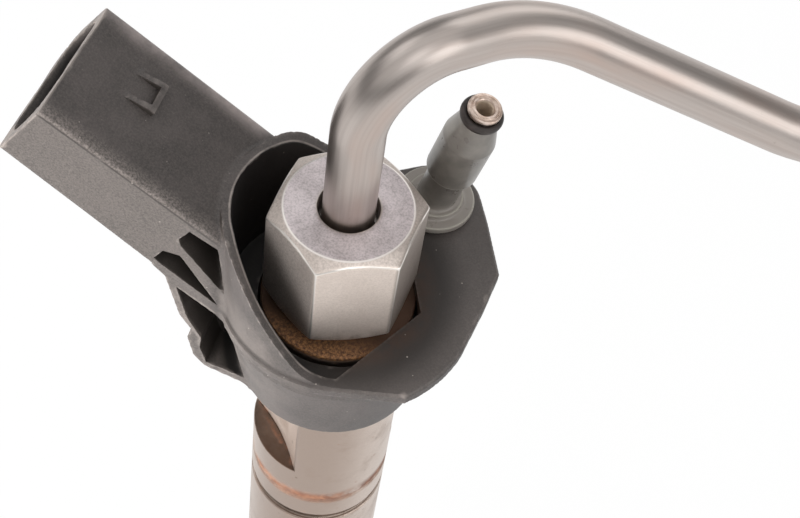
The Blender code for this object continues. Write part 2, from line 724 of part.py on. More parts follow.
conn_mid = CONNECTOR_TOP - CONNECTOR_H / 2
bend_reach = (conn_up.x * conn_mid - PIN_LEG_X) / cos(CONNECTOR_TILT)
pin_bend = on_connector(bend_reach, conn_mid)
pin_tip = on_connector(CONNECTOR_REACH - PIN_REACH, conn_mid)
pin_foot = Vector((PIN_LEG_X, 0, Z_LEADS))
pin_end = pin_foot + Vector((PIN_TAIL_L, 0, 0))
lead_foot = Vector((-LEAD_OFFSET, 0, Z_ACTUATOR_HEAD + 2 * GAP))
lead_knee = Vector((-LEAD_OFFSET, 0, Z_BORE_TOP - GAP))
lead_way = (pin_end - lead_knee).normalized()
lead_end = pin_end - lead_way * (PIN_T / 2 + GAP)

pin_line = [Vector((p.x, p.z)) for p in (pin_tip, pin_bend, pin_foot, pin_end)]
channel_line = pin_line[:-1] + [pin_line[-1] + Vector((GAP, 0))]
pin_channels, lead_channels = [], []
for side_name, side in (("left", -1), ("right", 1)):
    shift = Vector((0, side * LEAD_SPACING / 2, 0))
    place = Matrix.Translation(shift) @ SIDE_ON
    slack = PIN_W / 2 + GAP
    prism(f"contact_pin_{side_name}", strip(pin_line, PIN_T), -PIN_W / 2, PIN_W / 2, TINNED_BRASS, place)
    channel = strip(channel_line, PIN_T + 2 * GAP)
    pin_channels.append(prism(f"cut_pin_{side_name}", channel, -slack, slack, frame=place))
    lead_path = [p + shift for p in (lead_foot, lead_knee, lead_end)]
    tube(f"lead_{side_name}", lead_path, LEAD_R, 8, COPPER)
    clear = [lead_path[0] - Vector((0, 0, 4 * GAP)), lead_path[1], lead_path[2] + lead_way * GAP]
    lead_channels.append(tube(f"cut_lead_{side_name}", clear, LEAD_R + GAP, 12))
cut(actuator_head, *lead_channels)

# Steel body: one turned profile from the actuator bore round to the inlet's cone seat

Z_GROOVE = Z_STEP - GROOVE_DROP
Z_SCORE = Z_STEP - SCORE_DROP
filter_bore = FILTER_R + GAP
seat_top_r = PIPE_TIP_R + PIPE_TIP_DEPTH * CONE + CONE_GAP
seat_foot = Z_STUB - (seat_top_r - filter_bore) / CONE
injector_body = turn(
    "injector_body",
    [
        (0, Z_BORE_TOP), (BORE_R, Z_BORE_TOP), (BORE_R, Z_SPIGOT),
        (SPIGOT_R - BODY_CHAMFER, Z_SPIGOT), (SPIGOT_R, Z_SPIGOT + BODY_CHAMFER),
        (SPIGOT_R, Z_SHOULDER), (BODY_R - BODY_CHAMFER, Z_SHOULDER),
        (BODY_R, Z_SHOULDER + BODY_CHAMFER),
        (BODY_R, Z_GROOVE - GROOVE_W / 2), (BODY_R - GROOVE_DEPTH, Z_GROOVE - GROOVE_W / 2),
        (BODY_R - GROOVE_DEPTH, Z_GROOVE + GROOVE_W / 2), (BODY_R, Z_GROOVE + GROOVE_W / 2),
        (BODY_R, Z_SCORE - SCORE_W / 2), (BODY_R - SCORE_DEPTH, Z_SCORE - SCORE_W / 4),
        (BODY_R - SCORE_DEPTH, Z_SCORE + SCORE_W / 4), (BODY_R, Z_SCORE + SCORE_W / 2),
        (BODY_R, Z_STEP - BODY_CHAMFER), (BODY_R - BODY_CHAMFER, Z_STEP),
        (STUB_R, Z_STEP), (STUB_R, Z_STUB - STUB_CHAMFER), (STUB_R - STUB_CHAMFER, Z_STUB),
        (seat_top_r, Z_STUB), (filter_bore, seat_foot),
        (filter_bore, Z_FILTER - FILTER_SUMP), (0, Z_FILTER - FILTER_SUMP),
    ],
    BODY_STEEL,
)
flats = []
for angle in (CLAMP_ANGLE, CLAMP_ANGLE + pi):
    ledge = Z_STEP - CLAMP_LEDGE_DROP
    deep, wide = CLAMP_FLAT_WIDTH / 2, 2 * BODY_R
    outline = [(deep, -wide), (wide, -wide), (wide, wide), (deep, wide)]
    turned = Matrix.Rotation(angle, 4, "Z")
    flats.append(prism(f"cut_flat_{len(flats)}", outline, ledge, ledge + CLAMP_FLAT_H, frame=turned))
duct_top = polar(DUCT_TOP_R, DUCT_ANGLE, Z_BORE_TOP + 4 * DUCT_R)
return_angle = atan2(NIPPLE_PLACE[1], NIPPLE_PLACE[0])
return_mouth = polar(BODY_R + GAP / 2, return_angle, Z_RETURN)
cut(
    injector_body,
    *flats,
    rod("cut_duct", duct_seat + Vector((0, 0, Z_SPIGOT - GAP)), duct_top, DUCT_R, facets=12),
    rod("cut_duct_link", (0, 0, Z_FILTER - FILTER_SUMP / 2), duct_top, DUCT_R * 0.98, facets=12),
    rod("cut_return", polar(BORE_R / 2, return_angle, Z_BORE_TOP - GAP), return_mouth, RETURN_R, facets=12),
    *lead_channels,
    *dowel_holes,
)

star = []
for i in range(2 * FILTER_FLUTES):
    radius = FILTER_R - (FILTER_FLUTE_DEPTH if i % 2 else 0)
    star.append((radius * cos(pi * i / FILTER_FLUTES), radius * sin(pi * i / FILTER_FLUTES)))
prism("edge_filter", star, Z_FILTER, Z_FILTER + FILTER_L, INNER_STEEL)

# Moulded head: connector block and ribbed gusset first, then collar, plate and skirt round the body

conn_floor = CONNECTOR_TOP - CONNECTOR_H
head_overmould = prism(
    "head_overmould",
    rounded_box(CONNECTOR_W, conn_floor, CONNECTOR_TOP, CONNECTOR_ROUND),
    CONNECTOR_ROOT, CONNECTOR_REACH, HEAD_PLASTIC, CONNECTOR,
)

skirt_top_r = BODY_SEAT_R + SKIRT_TOP_WALL
skirt_foot_r = BODY_SEAT_R + SKIRT_FOOT_WALL


def drawn(reach, up):
    """A point of the connector's side view as (x, height over the plate)."""
    point = on_connector(reach, up)
    return point.x, point.z - Z_PLATE


foot = -COLLAR_FOOT - SKIRT_H + GAP
gusset_reach = CONNECTOR_REACH - GUSSET_SETBACK
brow = (-skirt_top_r - GUSSET_BROW_OUT, GUSSET_BROW_UP)
chin = (-skirt_top_r - GUSSET_CHIN_OUT, -GUSSET_CHIN_DOWN)
waist = (-skirt_top_r - GUSSET_WAIST_OUT, -GUSSET_WAIST_DOWN)
knee = (-skirt_top_r - GUSSET_KNEE_OUT, -GUSSET_KNEE_DOWN)
shin = (-skirt_top_r - GUSSET_SHIN_OUT, -GUSSET_SHIN_DOWN)
toe = (-skirt_top_r - GUSSET_TOE_OUT, foot + GUSSET_TOE_UP)
gusset_back = -skirt_foot_r + GUSSET_BACK
gusset_outline = [
    drawn(gusset_reach, conn_floor + GUSSET_LAP), drawn(gusset_reach, conn_floor - GUSSET_LIP),
    brow, chin, waist, knee, shin, toe,
    (gusset_back, foot), (gusset_back, drawn(CONNECTOR_ROOT, conn_mid)[1]),
    drawn(CONNECTOR_ROOT + GUSSET_ROOT, conn_floor + GUSSET_LAP),
]
half_w = CONNECTOR_W / 2 - GUSSET_INSET
drop = Matrix.Translation((0, 0, Z_PLATE)) @ SIDE_ON
gusset = prism("tool_gusset", gusset_outline, -half_w, half_w, frame=drop)
fuse(head_overmould, gusset)

pocket_reach = CONNECTOR_REACH - POCKET_SETBACK
roof = CONNECTOR_TOP - POCKET_ROOF
rib_low = drawn(pocket_reach, conn_floor)
rib_high = (-COLLAR_R + RIB_ROOT_IN, RIB_ROOT_UP)
pocket_outlines = (
    [
        drawn(pocket_reach, conn_floor + POCKET_H + RIB_SPREAD), drawn(pocket_reach, roof),
        drawn(pocket_reach - POCKET_ROOF_L, roof), rib_high,
    ],
    [
        (rib_low[0] + RIB_EDGE, rib_low[1] + GUSSET_INSET), drawn(pocket_reach, conn_floor + POCKET_H),
        drawn(pocket_reach - POCKET_STEP, conn_floor + POCKET_H + POCKET_STEP),
        (rib_high[0] - POCKET_STEP, rib_high[1] - RIB_ROOT_T),
    ],
    [
        (brow[0] + RIB_T, brow[1] - POCKET_BROW_T), (-COLLAR_R + POCKET_ROOT_IN, -COLLAR_FOOT),
        (-skirt_foot_r + POCKET_FOOT_IN, foot + POCKET_FOOT_T),
        (toe[0] + RIB_EDGE, foot + POCKET_TOE_T), (shin[0] + POCKET_RIM, shin[1] + POCKET_BROW_T),
        (waist[0] + POCKET_WAIST_T, waist[1] - RIB_EDGE),
        (chin[0] + POCKET_RIM, chin[1] + POCKET_RIM / 2),
    ],
)
for number, outline in enumerate(pocket_outlines, 1):
    for side in (-1, 1):
        near, far = sorted((side * WEB_T / 2, side * CONNECTOR_W))
        cut(head_overmould, prism(f"cut_pocket_{number}_{side}", outline, near, far, frame=drop))

collar = turn(
    "tool_collar",
    [
        (0, Z_PLATE - COLLAR_FOOT), (COLLAR_R, Z_PLATE - COLLAR_FOOT),
        (COLLAR_R, Z_PLATE + 2 * RIM_H), (0, Z_PLATE + 2 * RIM_H),
    ],
)
rim_slope = Vector((RIM_FOOT_X - RIM_FLAT_X, -RIM_H)).normalized()
rim_cut = prism(
    "cut_rim",
    [
        (-3 * COLLAR_R, RIM_H), (RIM_FLAT_X - RIM_ROUND, RIM_H),
        (RIM_FLAT_X - RIM_ROUND * 0.1, RIM_H - RIM_ROUND * 0.35),
        (RIM_FLAT_X + rim_slope.x * RIM_ROUND, RIM_H + rim_slope.y * RIM_ROUND),
        (RIM_FOOT_X - rim_slope.x / rim_slope.y * PLATE_T / 4, -PLATE_T / 4),
        (3 * COLLAR_R, -PLATE_T / 4), (3 * COLLAR_R, 4 * RIM_H), (-3 * COLLAR_R, 4 * RIM_H),
    ],
    -3 * COLLAR_R, 3 * COLLAR_R, frame=drop,
)
cut(collar, rim_cut)

lobe_r = NIPPLE_DISC_R + NIPPLE_LOBE_MARGIN
plate_points = (
    arc((0, 0), COLLAR_R + GAP, radians(60), radians(300), 20)
    + arc((0, 0), PLATE_ARC_R, *PLATE_ARC, 8)
    + [PLATE_CORNER]
    + arc(NIPPLE_PLACE, lobe_r, radians(-30), radians(210), 20)
)
plate = bmesh.new()
for level in (Z_PLATE - PLATE_T, Z_PLATE):
    for x, y in plate_points:
        plate.verts.new((x, y, level))
bmesh.ops.convex_hull(plate, input=plate.verts)
bmesh.ops.delete(plate, geom=[v for v in plate.verts if not v.link_faces], context="VERTS")
bmesh.ops.dissolve_limit(plate, angle_limit=radians(1), verts=plate.verts, edges=plate.edges)
plate = finish("tool_plate", plate)

skirt = turn(
    "tool_skirt",
    [
        (0, Z_SKIRT), (skirt_foot_r, Z_SKIRT), (skirt_top_r, Z_PLATE - COLLAR_FOOT),
        (skirt_top_r, Z_PLATE - PLATE_T * 0.5), (0, Z_PLATE - PLATE_T * 0.5),
    ],
)
nipple_at = Vector((*NIPPLE_PLACE, 0))
spigot_hole = NIPPLE_SPIGOT_R + GAP
Z_SPIGOT_FLOOR = Z_RETURN - RETURN_R - GAP
boss = rod(
    "tool_boss", nipple_at + Vector((0, 0, Z_SPIGOT_FLOOR - BOSS_FLOOR)),
    nipple_at + Vector((0, 0, Z_PLATE - PLATE_T * 0.6)), spigot_hole + BOSS_MARGIN,
)
fuse(head_overmould, collar, plate, skirt, boss)

latch_low = CONNECTOR_REACH - LATCH_SETBACK - LATCH_L
latch_ramp = [
    (CONNECTOR_TOP - LATCH_H, latch_low), (CONNECTOR_TOP + LATCH_H, latch_low),
    (CONNECTOR_TOP + LATCH_H, latch_low + LATCH_BAR), (CONNECTOR_TOP - LATCH_H / 8, latch_low + LATCH_L),
]
latch_frame = CONNECTOR @ Matrix(((0, 0, 1, -LATCH_OFFSET), (1, 0, 0, 0), (0, 1, 0, 0), (0, 0, 0, 1)))
latch = prism("tool_latch", latch_ramp, -LATCH_W / 2, LATCH_W / 2, frame=latch_frame)
hollow_floor = CONNECTOR_TOP - LATCH_H / 4  # the connector's own top face shows in the latch
latch_hollow = prism(
    "cut_latch",
    [
        (hollow_floor, latch_low + LATCH_BAR), (CONNECTOR_TOP + 2 * LATCH_H, latch_low + LATCH_BAR),
        (CONNECTOR_TOP + 2 * LATCH_H, latch_low + 2 * LATCH_L), (hollow_floor, latch_low + 2 * LATCH_L),
    ],
    -LATCH_W / 2 + LATCH_BAR, LATCH_W / 2 - LATCH_BAR, frame=latch_frame,
)
cut(latch, latch_hollow)
fuse(head_overmould, latch)

recess = prism(
    "cut_recess",
    arc((0, 0), RECESS_R, RECESS_END, 2 * pi - RECESS_END, 24)
    + arc((-RECESS_NOSE_SHIFT, 0), RECESS_NOSE_R, -RECESS_NOSE_END, RECESS_NOSE_END, 6),
    Z_RECESS, Z_PLATE + 4 * RIM_H,
)
body_seat = turn(
    "cut_body_seat",
    [
        (0, Z_SKIRT - PLATE_T), (BODY_SEAT_R, Z_SKIRT - PLATE_T),
        (BODY_SEAT_R, Z_STEP + GAP), (0, Z_STEP + GAP),
    ],
)
socket = prism(
    "cut_socket",
    rounded_box(
        CONNECTOR_W - 2 * SOCKET_WALL, conn_floor + SOCKET_WALL, CONNECTOR_TOP - SOCKET_WALL,
        SOCKET_ROUND, 3,
    ),
    CONNECTOR_REACH - SOCKET_DEPTH, CONNECTOR_REACH + SOCKET_WALL, frame=CONNECTOR,
)
cut(
    head_overmould, *lead_channels, *pin_channels, recess, body_seat, socket,
    rod(
        "cut_nipple_seat", nipple_at + Vector((0, 0, Z_SPIGOT_FLOOR)),
        nipple_at + Vector((0, 0, Z_PLATE + PLATE_T)), spigot_hole,
    ),
    rod(
        "cut_return_way", polar(BODY_R - PLATE_T, return_angle, Z_RETURN),
        nipple_at + Vector((0, 0, Z_RETURN)), RETURN_R, facets=12,
    ),
)

# Return nipple with its bush and O-ring, leaning on a flat base disc

lean_way = heading(NIPPLE_LEAN_ANGLE, pi / 2 - NIPPLE_LEAN)
Z_DISC = Z_PLATE + GAP
nipple_base = nipple_at + Vector((0, 0, Z_DISC + NIPPLE_DISC_T))
LEANING = Matrix.Translation(nipple_base) @ lean_way.to_track_quat("Z", "X").to_matrix().to_4x4()
return_nipple = turn(
    "return_nipple",
    [
        (0, Z_DISC - NIPPLE_SPIGOT_L), (NIPPLE_SPIGOT_R, Z_DISC - NIPPLE_SPIGOT_L),
        (NIPPLE_SPIGOT_R, Z_DISC),
        (NIPPLE_DISC_R, Z_DISC), (NIPPLE_DISC_R, Z_DISC + NIPPLE_DISC_T),
        (NIPPLE_STEP_R, Z_DISC + NIPPLE_DISC_T), (NIPPLE_STEP_R, Z_DISC + NIPPLE_DISC_T + NIPPLE_STEP_T),
        (0, Z_DISC + NIPPLE_DISC_T + NIPPLE_STEP_T),
    ],
    NIPPLE_PLASTIC, Matrix.Translation(nipple_at), facets=FINE_FACETS + 4,
)
stem = turn(
    "tool_nipple_stem",
    [
        (0, -NIPPLE_DISC_T / 2), (NIPPLE_STEM_R, -NIPPLE_DISC_T / 2),
        (NIPPLE_STEM_R, NIPPLE_STEM_L), (NIPPLE_SLEEVE_R, NIPPLE_STEM_L + NIPPLE_LEDGE),
        (NIPPLE_SLEEVE_R, NIPPLE_SLEEVE_END),
        (NIPPLE_TOP_R, NIPPLE_L), (0, NIPPLE_L),
    ],
    frame=LEANING, facets=FINE_FACETS + 4,
)
nipple_bore = turn(
    "cut_nipple_bore",
    [
        (0, -4 * NIPPLE_SPIGOT_L), (BUSH_BORE_R, -4 * NIPPLE_SPIGOT_L),
        (BUSH_BORE_R, NIPPLE_L - BUSH_DEPTH - GAP),
        (BUSH_R + GAP, NIPPLE_L - BUSH_DEPTH - GAP), (BUSH_R + GAP, NIPPLE_L + GAP), (0, NIPPLE_L + GAP),
    ],
    frame=LEANING, facets=16,
)
fuse(return_nipple, stem)
cut(return_nipple, nipple_bore)

flange_foot = NIPPLE_L + GAP + 2 * O_RING_WIRE_R + GAP
turn(
    "nipple_bush",
    [
        (BUSH_BORE_R, NIPPLE_L - BUSH_DEPTH), (BUSH_BORE_R, flange_foot + BUSH_FLANGE_T),
        (BUSH_FLANGE_R, flange_foot + BUSH_FLANGE_T), (BUSH_FLANGE_R, flange_foot),
        (BUSH_R, flange_foot), (BUSH_R, NIPPLE_L - BUSH_DEPTH),
    ],
    TINNED_BRASS, LEANING, ring=True, facets=FINE_FACETS,
)
o_ring_r = BUSH_R + GAP + O_RING_WIRE_R
turn(
    "nipple_o_ring",
    arc((o_ring_r, NIPPLE_L + GAP + O_RING_WIRE_R), O_RING_WIRE_R, 0, 2 * pi * 7 / 8, 7),
    RUBBER, LEANING, ring=True, facets=FINE_FACETS,
)

# High-pressure pipe: cold-formed heads at both ends, three bends between them

head_cone_l = (PIPE_HEAD_R - PIPE_TIP_R) / CONE
head_rim_end = head_cone_l + PIPE_HEAD_RIM
head_end = head_rim_end + PIPE_HEAD_R - PIPE_R
NUT_LIFT = Z_STEP + NUT_CLEAR - Z_PIPE_TIP  # the nut's foot, measured from the pipe's tip
NUT_TOP = NUT_LIFT + NUT_H


def bend(path, start, end, radius):
    """Add an arc that turns the path from one heading to another."""
    angle = start.angle(end)
    inward = (end - start * start.dot(end)).normalized()
    steps = max(3, ceil(angle / radians(9)))
    corner = path[-1]
    for i in range(1, steps + 1):
        a = angle * i / steps
        path.append(corner + (start * sin(a) + inward * (1 - cos(a))) * radius)


tip = Vector((0, 0, Z_PIPE_TIP))
way = Vector((0, 0, 1))
head_stations = (
    (0, PIPE_TIP_R), (head_cone_l, PIPE_HEAD_R), (head_rim_end, PIPE_HEAD_R), (head_end, PIPE_R),
)
pipe_path = [tip + way * s for s, _ in head_stations] + [tip + way * (NUT_TOP + PIPE_RISE)]
legs = (
    (PIPE_BEND_1, PIPE_DIRECTION_1, PIPE_RUN_1),
    (PIPE_BEND_2, PIPE_DIRECTION_2, PIPE_RUN_2),
    (PIPE_BEND_3, PIPE_DIRECTION_3, PIPE_END_RUN + NUT_TOP + NUT_TRAVEL - head_end),
)
for radius, angles, run in legs:
    onward = heading(*angles)
    bend(pipe_path, way, onward, radius)
    pipe_path.append(pipe_path[-1] + onward * run)
    way = onward
pipe_end = pipe_path[-1] + way * head_end
pipe_path += [pipe_end - way * s for s, _ in reversed(head_stations[:-1])]
radii = [r for _, r in head_stations]
radii += [PIPE_R] * (len(pipe_path) - 2 * len(radii)) + radii[::-1]
pipe = tube("high_pressure_pipe", pipe_path, PIPE_R, PIPE_FACETS, PIPE_STEEL, radii)
bore_path = [pipe_path[0] - Vector((0, 0, GAP))] + pipe_path[1:-1] + [pipe_end + way * GAP]
cut(pipe, tube("cut_pipe_bore", bore_path, PIPE_BORE_R, 8))

# Unions: a hexagon nut and the thrust ring that it presses on the pipe's head


def union(nut_name, ring_name, frame, angle):
    """Nut and ring on a pipe end. The frame's z runs from the pipe's tip back along the pipe."""
    ring_foot = head_rim_end + GAP
    flare = GAP * sqrt(2)
    ring_bore = PIPE_R + GAP
    land = head_rim_end + PIPE_HEAD_R - ring_bore + flare
    ring = turn(
        ring_name,
        [
            (ring_bore, land), (ring_bore, land + RING_LAND), (RING_R, land + RING_LAND),
            (RING_R, ring_foot), (PIPE_HEAD_R + flare - GAP, ring_foot),
        ],
        INNER_STEEL, frame, ring=True, facets=FINE_FACETS + 4,
    )
    corner = NUT_FLATS / sqrt(3)
    reach = corner + GAP
    top_drop, foot_rise = (tan(NUT_CHAMFER_SLOPE) * (reach - r) for r in (NUT_TOP_LAND_R, NUT_FOOT_LAND_R))
    turned = frame @ Matrix.Rotation(angle, 4, "Z")
    between = turned @ Matrix.Rotation(pi / FACETS / 2, 4, "Z")
    nut = prism(nut_name, circle(corner, 6), NUT_LIFT - GAP, NUT_TOP + GAP, NUT_STEEL, turned)
    crown = turn(
        f"tool_{nut_name}",
        [
            (0, NUT_LIFT), (NUT_FOOT_LAND_R, NUT_LIFT), (reach, NUT_LIFT + foot_rise),
            (reach, NUT_TOP - top_drop), (NUT_TOP_LAND_R, NUT_TOP), (0, NUT_TOP),
        ],
        frame=between,
    )
    thread_top = Z_STUB - Z_PIPE_TIP + NUT_THREAD_RUNOUT
    inside = turn(
        f"cut_{nut_name}",
        [
            (0, NUT_LIFT - GAP), (STUB_R + GAP, NUT_LIFT - GAP), (STUB_R + GAP, thread_top),
            (RING_R + GAP, thread_top), (RING_R + GAP, land + RING_LAND + GAP),
            (NUT_HOLE_R, land + RING_LAND + GAP),
            (NUT_HOLE_R, NUT_TOP + GAP), (0, NUT_TOP + GAP),
        ],
        frame=between, facets=FINE_FACETS + 4,
    )
    combine(nut, crown, "INTERSECT")
    cut(nut, inside)
    for made in (ring, nut):
        made.data.transform(frame.inverted())
        made.matrix_world = frame


union("union_nut", "pipe_thrust_ring", Matrix.Translation(tip), NUT_ANGLE)
back = (-way).to_track_quat("Z", "X").to_matrix().to_4x4()
union("rail_union_nut", "rail_thrust_ring", Matrix.Translation(pipe_end) @ back, NUT_ANGLE)

# Where cuts meet at a point, their nearly equal corners become one

for part in PARTS.objects:
    if part.modifiers:
        weld = part.modifiers.new("weld", "WELD")
        weld.merge_threshold = WELD

print("pipe end", [round(c, 5) for c in pipe_end], "heading", [round(c, 4) for c in way])
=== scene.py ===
from math import cos, pi, radians, sin, tan

import bmesh
import bpy
import numpy as np
from mathutils import Matrix, Vector


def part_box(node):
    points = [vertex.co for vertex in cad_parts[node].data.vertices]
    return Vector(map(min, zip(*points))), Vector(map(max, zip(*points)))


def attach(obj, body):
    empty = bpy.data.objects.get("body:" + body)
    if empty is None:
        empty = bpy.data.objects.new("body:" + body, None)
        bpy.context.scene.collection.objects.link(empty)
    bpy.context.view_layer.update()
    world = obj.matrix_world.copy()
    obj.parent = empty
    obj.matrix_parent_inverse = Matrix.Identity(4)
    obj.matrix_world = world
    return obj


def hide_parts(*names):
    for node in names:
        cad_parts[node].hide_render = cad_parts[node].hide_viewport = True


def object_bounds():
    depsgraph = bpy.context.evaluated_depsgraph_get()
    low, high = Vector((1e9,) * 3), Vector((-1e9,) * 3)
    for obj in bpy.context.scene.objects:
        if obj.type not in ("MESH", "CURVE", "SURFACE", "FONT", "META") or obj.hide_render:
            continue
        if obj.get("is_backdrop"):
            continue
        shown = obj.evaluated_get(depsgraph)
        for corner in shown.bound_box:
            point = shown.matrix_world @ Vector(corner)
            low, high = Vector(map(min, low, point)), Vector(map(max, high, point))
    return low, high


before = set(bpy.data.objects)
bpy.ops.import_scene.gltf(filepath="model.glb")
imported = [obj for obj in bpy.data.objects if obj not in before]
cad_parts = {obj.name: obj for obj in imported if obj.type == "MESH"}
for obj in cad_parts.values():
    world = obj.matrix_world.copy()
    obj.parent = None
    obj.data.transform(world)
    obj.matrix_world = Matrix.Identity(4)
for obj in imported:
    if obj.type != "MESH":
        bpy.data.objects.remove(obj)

cad_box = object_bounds()
MM = 0.001

# Steel body. A turned bar of pale alloy steel, with two clamp flats milled across its head end,
# a shallow groove and a score line below them, and an M14 x 1.5 thread rolled on the inlet stub.
# Years under an engine cover have left it satin, with rust where water sat.


def soften(profile, round_off, steps=4, ring=False):
    """A profile of (radius, height) with each corner replaced by a quadratic curve that starts and
    ends round_off from it, at most 0.45 of the way to the next corner, with a point beside it to
    hold the flats flat. An open profile keeps its two ends."""
    points = np.array(profile, float)
    before, after = np.roll(points, 1, 0), np.roll(points, -1, 0)
    back, on = before - points, after - points
    size_back, size_on = np.linalg.norm(back, axis=1), np.linalg.norm(on, axis=1)
    cut = np.minimum(round_off, 0.45 * np.minimum(size_back, size_on))[:, None]
    start = points + back / size_back[:, None] * cut
    end = points + on / size_on[:, None] * cut
    t = np.linspace(0, 1, steps + 1)[None, :, None]
    curve = (1 - t) ** 2 * start[:, None] + 2 * t * (1 - t) * points[:, None] + t**2 * end[:, None]
    hold_in = points + back / size_back[:, None] * np.minimum(cut * 1.8, 0.48 * size_back[:, None])
    hold_out = points + on / size_on[:, None] * np.minimum(cut * 1.8, 0.48 * size_on[:, None])
    groups = np.concatenate([hold_in[:, None], curve, hold_out[:, None]], 1)
    if ring:
        return groups.reshape(-1, 2)
    return np.concatenate([points[:1], groups[1:-1].reshape(-1, 2), points[-1:]])


def skin(name, points, body, ring=False, smooth=40, straight=None):
    """A closed mesh over a grid of points, (stations, around, 3). Around always closes on itself, and
    along closes too for a ring. An open end has to come to one point. straight gives each point
    its place on the unbent piece, kept as the attribute "straight"."""
    rows, columns = points.shape[:2]
    number = np.arange(rows * columns).reshape(rows, columns)
    if ring:
        number = np.concatenate([number, number[:1]])
    number = np.concatenate([number, number[:, :1]], 1)
    quads = np.stack([number[:-1, :-1], number[:-1, 1:], number[1:, 1:], number[1:, :-1]], -1)
    return solid(name, points.reshape(-1, 3), quads.reshape(-1, 4), body, smooth, straight)


def solid(name, points, faces, body, smooth=40, straight=None, calm=0):
    """A piece on a body from points and faces: doubles merged, normals turned out, and its curvature,
    evened out as often as calm says, kept as the attribute "edge"."""
    mesh = bpy.data.meshes.new(name)
    mesh.from_pydata(points, [], faces)
    if straight is not None:
        kept = mesh.attributes.new("straight", "FLOAT_VECTOR", "POINT")
        kept.data.foreach_set("vector", np.asarray(straight, np.float32).ravel())
    work = bmesh.new()
    work.from_mesh(mesh)
    bmesh.ops.remove_doubles(work, verts=work.verts, dist=2e-6)
    bmesh.ops.recalc_face_normals(work, faces=work.faces)
    work.to_mesh(mesh)
    work.free()
    mesh.shade_smooth()
    mesh.set_sharp_from_angle(angle=radians(smooth))
    kept = mesh.attributes.new("edge", "FLOAT", "POINT")
    kept.data.foreach_set("value", bends(mesh, calm).astype(np.float32))
    made = bpy.data.objects.new(name, mesh)
    bpy.context.scene.collection.objects.link(made)
    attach(made, body)
    return made


def bends(mesh, calm):
    """The mean, over the edges at each point, of the turn of the normal per mm, then evened out
    between neighbours as many times as calm says."""
    count = len(mesh.vertices)
    place, normal = np.empty(count * 3), np.empty(count * 3)
    mesh.vertices.foreach_get("co", place)
    mesh.vertex_normals.foreach_get("vector", normal)
    place, normal = place.reshape(-1, 3), normal.reshape(-1, 3)
    ends = np.empty(len(mesh.edges) * 2, np.int32)
    mesh.edges.foreach_get("vertices", ends)
    a, b = ends.reshape(-1, 2).T
    way = place[b] - place[a]
    turn = ((normal[b] - normal[a]) * way).sum(1) / np.maximum((way * way).sum(1), 1e-12)
    share = np.maximum(np.bincount(a, minlength=count) + np.bincount(b, minlength=count), 1)
    bend = (np.bincount(a, turn, count) + np.bincount(b, turn, count)) / share * MM
    for _ in range(calm):
        bend = (bend + (np.bincount(a, bend[b], count) + np.bincount(b, bend[a], count)) / share) / 2
    return bend


def turned(profile, around=96, place=None):
    """A profile of (radius, height), in mm, carried round the z axis: x = r cos a, y = r sin a.
    place, a 4 x 4 matrix in metres, moves the result."""
    profile = np.asarray(profile)
    angle = np.linspace(0, 2 * pi, around, endpoint=False)
    radius, height = profile[:, :1], profile[:, 1:]
    points = np.stack([radius * np.cos(angle), radius * np.sin(angle), height + 0 * angle], -1) * MM
    return points if place is None else moved(points, place)


def moved(points, place):
    """Points through a 4 x 4 matrix."""
    place = np.array(place)
    return points @ place[:3, :3].T + place[:3, 3]


BODY_R = 9.86
SHOULDER, GROOVE, SCORE, LEDGE, STEP, STUB_TOP = 38.0, 93.6, 99.4, 106.8, 139.6, 149.0
FLAT_TOP, FLAT_HALF, FLAT_ANGLE, FLAT_REACH, SCOOP = 123.6, 7.5, radians(45), 6.4, 0.8
STUB_R, THREAD_PITCH, THREAD_DEPTH = 6.85, 1.5, 0.72
BORE_R, BORE_TOP, SPIGOT_R, SPIGOT_END = 5.2, 118.0, 7.2, 29.9
INLET_R, INLET_END, CONE_R, CONE_END = 2.3, 128.3, 4.03, 146.0
GROOVE_HALF, GROOVE_R, SCORE_HALF, SCORE_R = 0.9, BODY_R - 0.6, 0.5, BODY_R - 0.25
NECK_R = STUB_R - THREAD_DEPTH
body_outline = soften(
    [
        (0, BORE_TOP), (BORE_R, BORE_TOP), (BORE_R, SPIGOT_END), (SPIGOT_R, SPIGOT_END),
        (SPIGOT_R, SHOULDER), (BODY_R, SHOULDER), (BODY_R, GROOVE - GROOVE_HALF),
        (GROOVE_R, GROOVE - GROOVE_HALF), (GROOVE_R, GROOVE + GROOVE_HALF),
        (BODY_R, GROOVE + GROOVE_HALF), (BODY_R, SCORE - SCORE_HALF), (SCORE_R, SCORE - SCORE_HALF / 2),
        (SCORE_R, SCORE + SCORE_HALF / 2), (BODY_R, SCORE + SCORE_HALF), (BODY_R, LEDGE),
        (BODY_R, FLAT_TOP), (BODY_R, STEP), (NECK_R, STEP), (NECK_R, STEP + 0.8), (STUB_R, STEP + 1.2),
        (STUB_R, STUB_TOP), (CONE_R, STUB_TOP), (INLET_R, CONE_END), (INLET_R, INLET_END), (0, INLET_END),
    ],
    0.3,
)


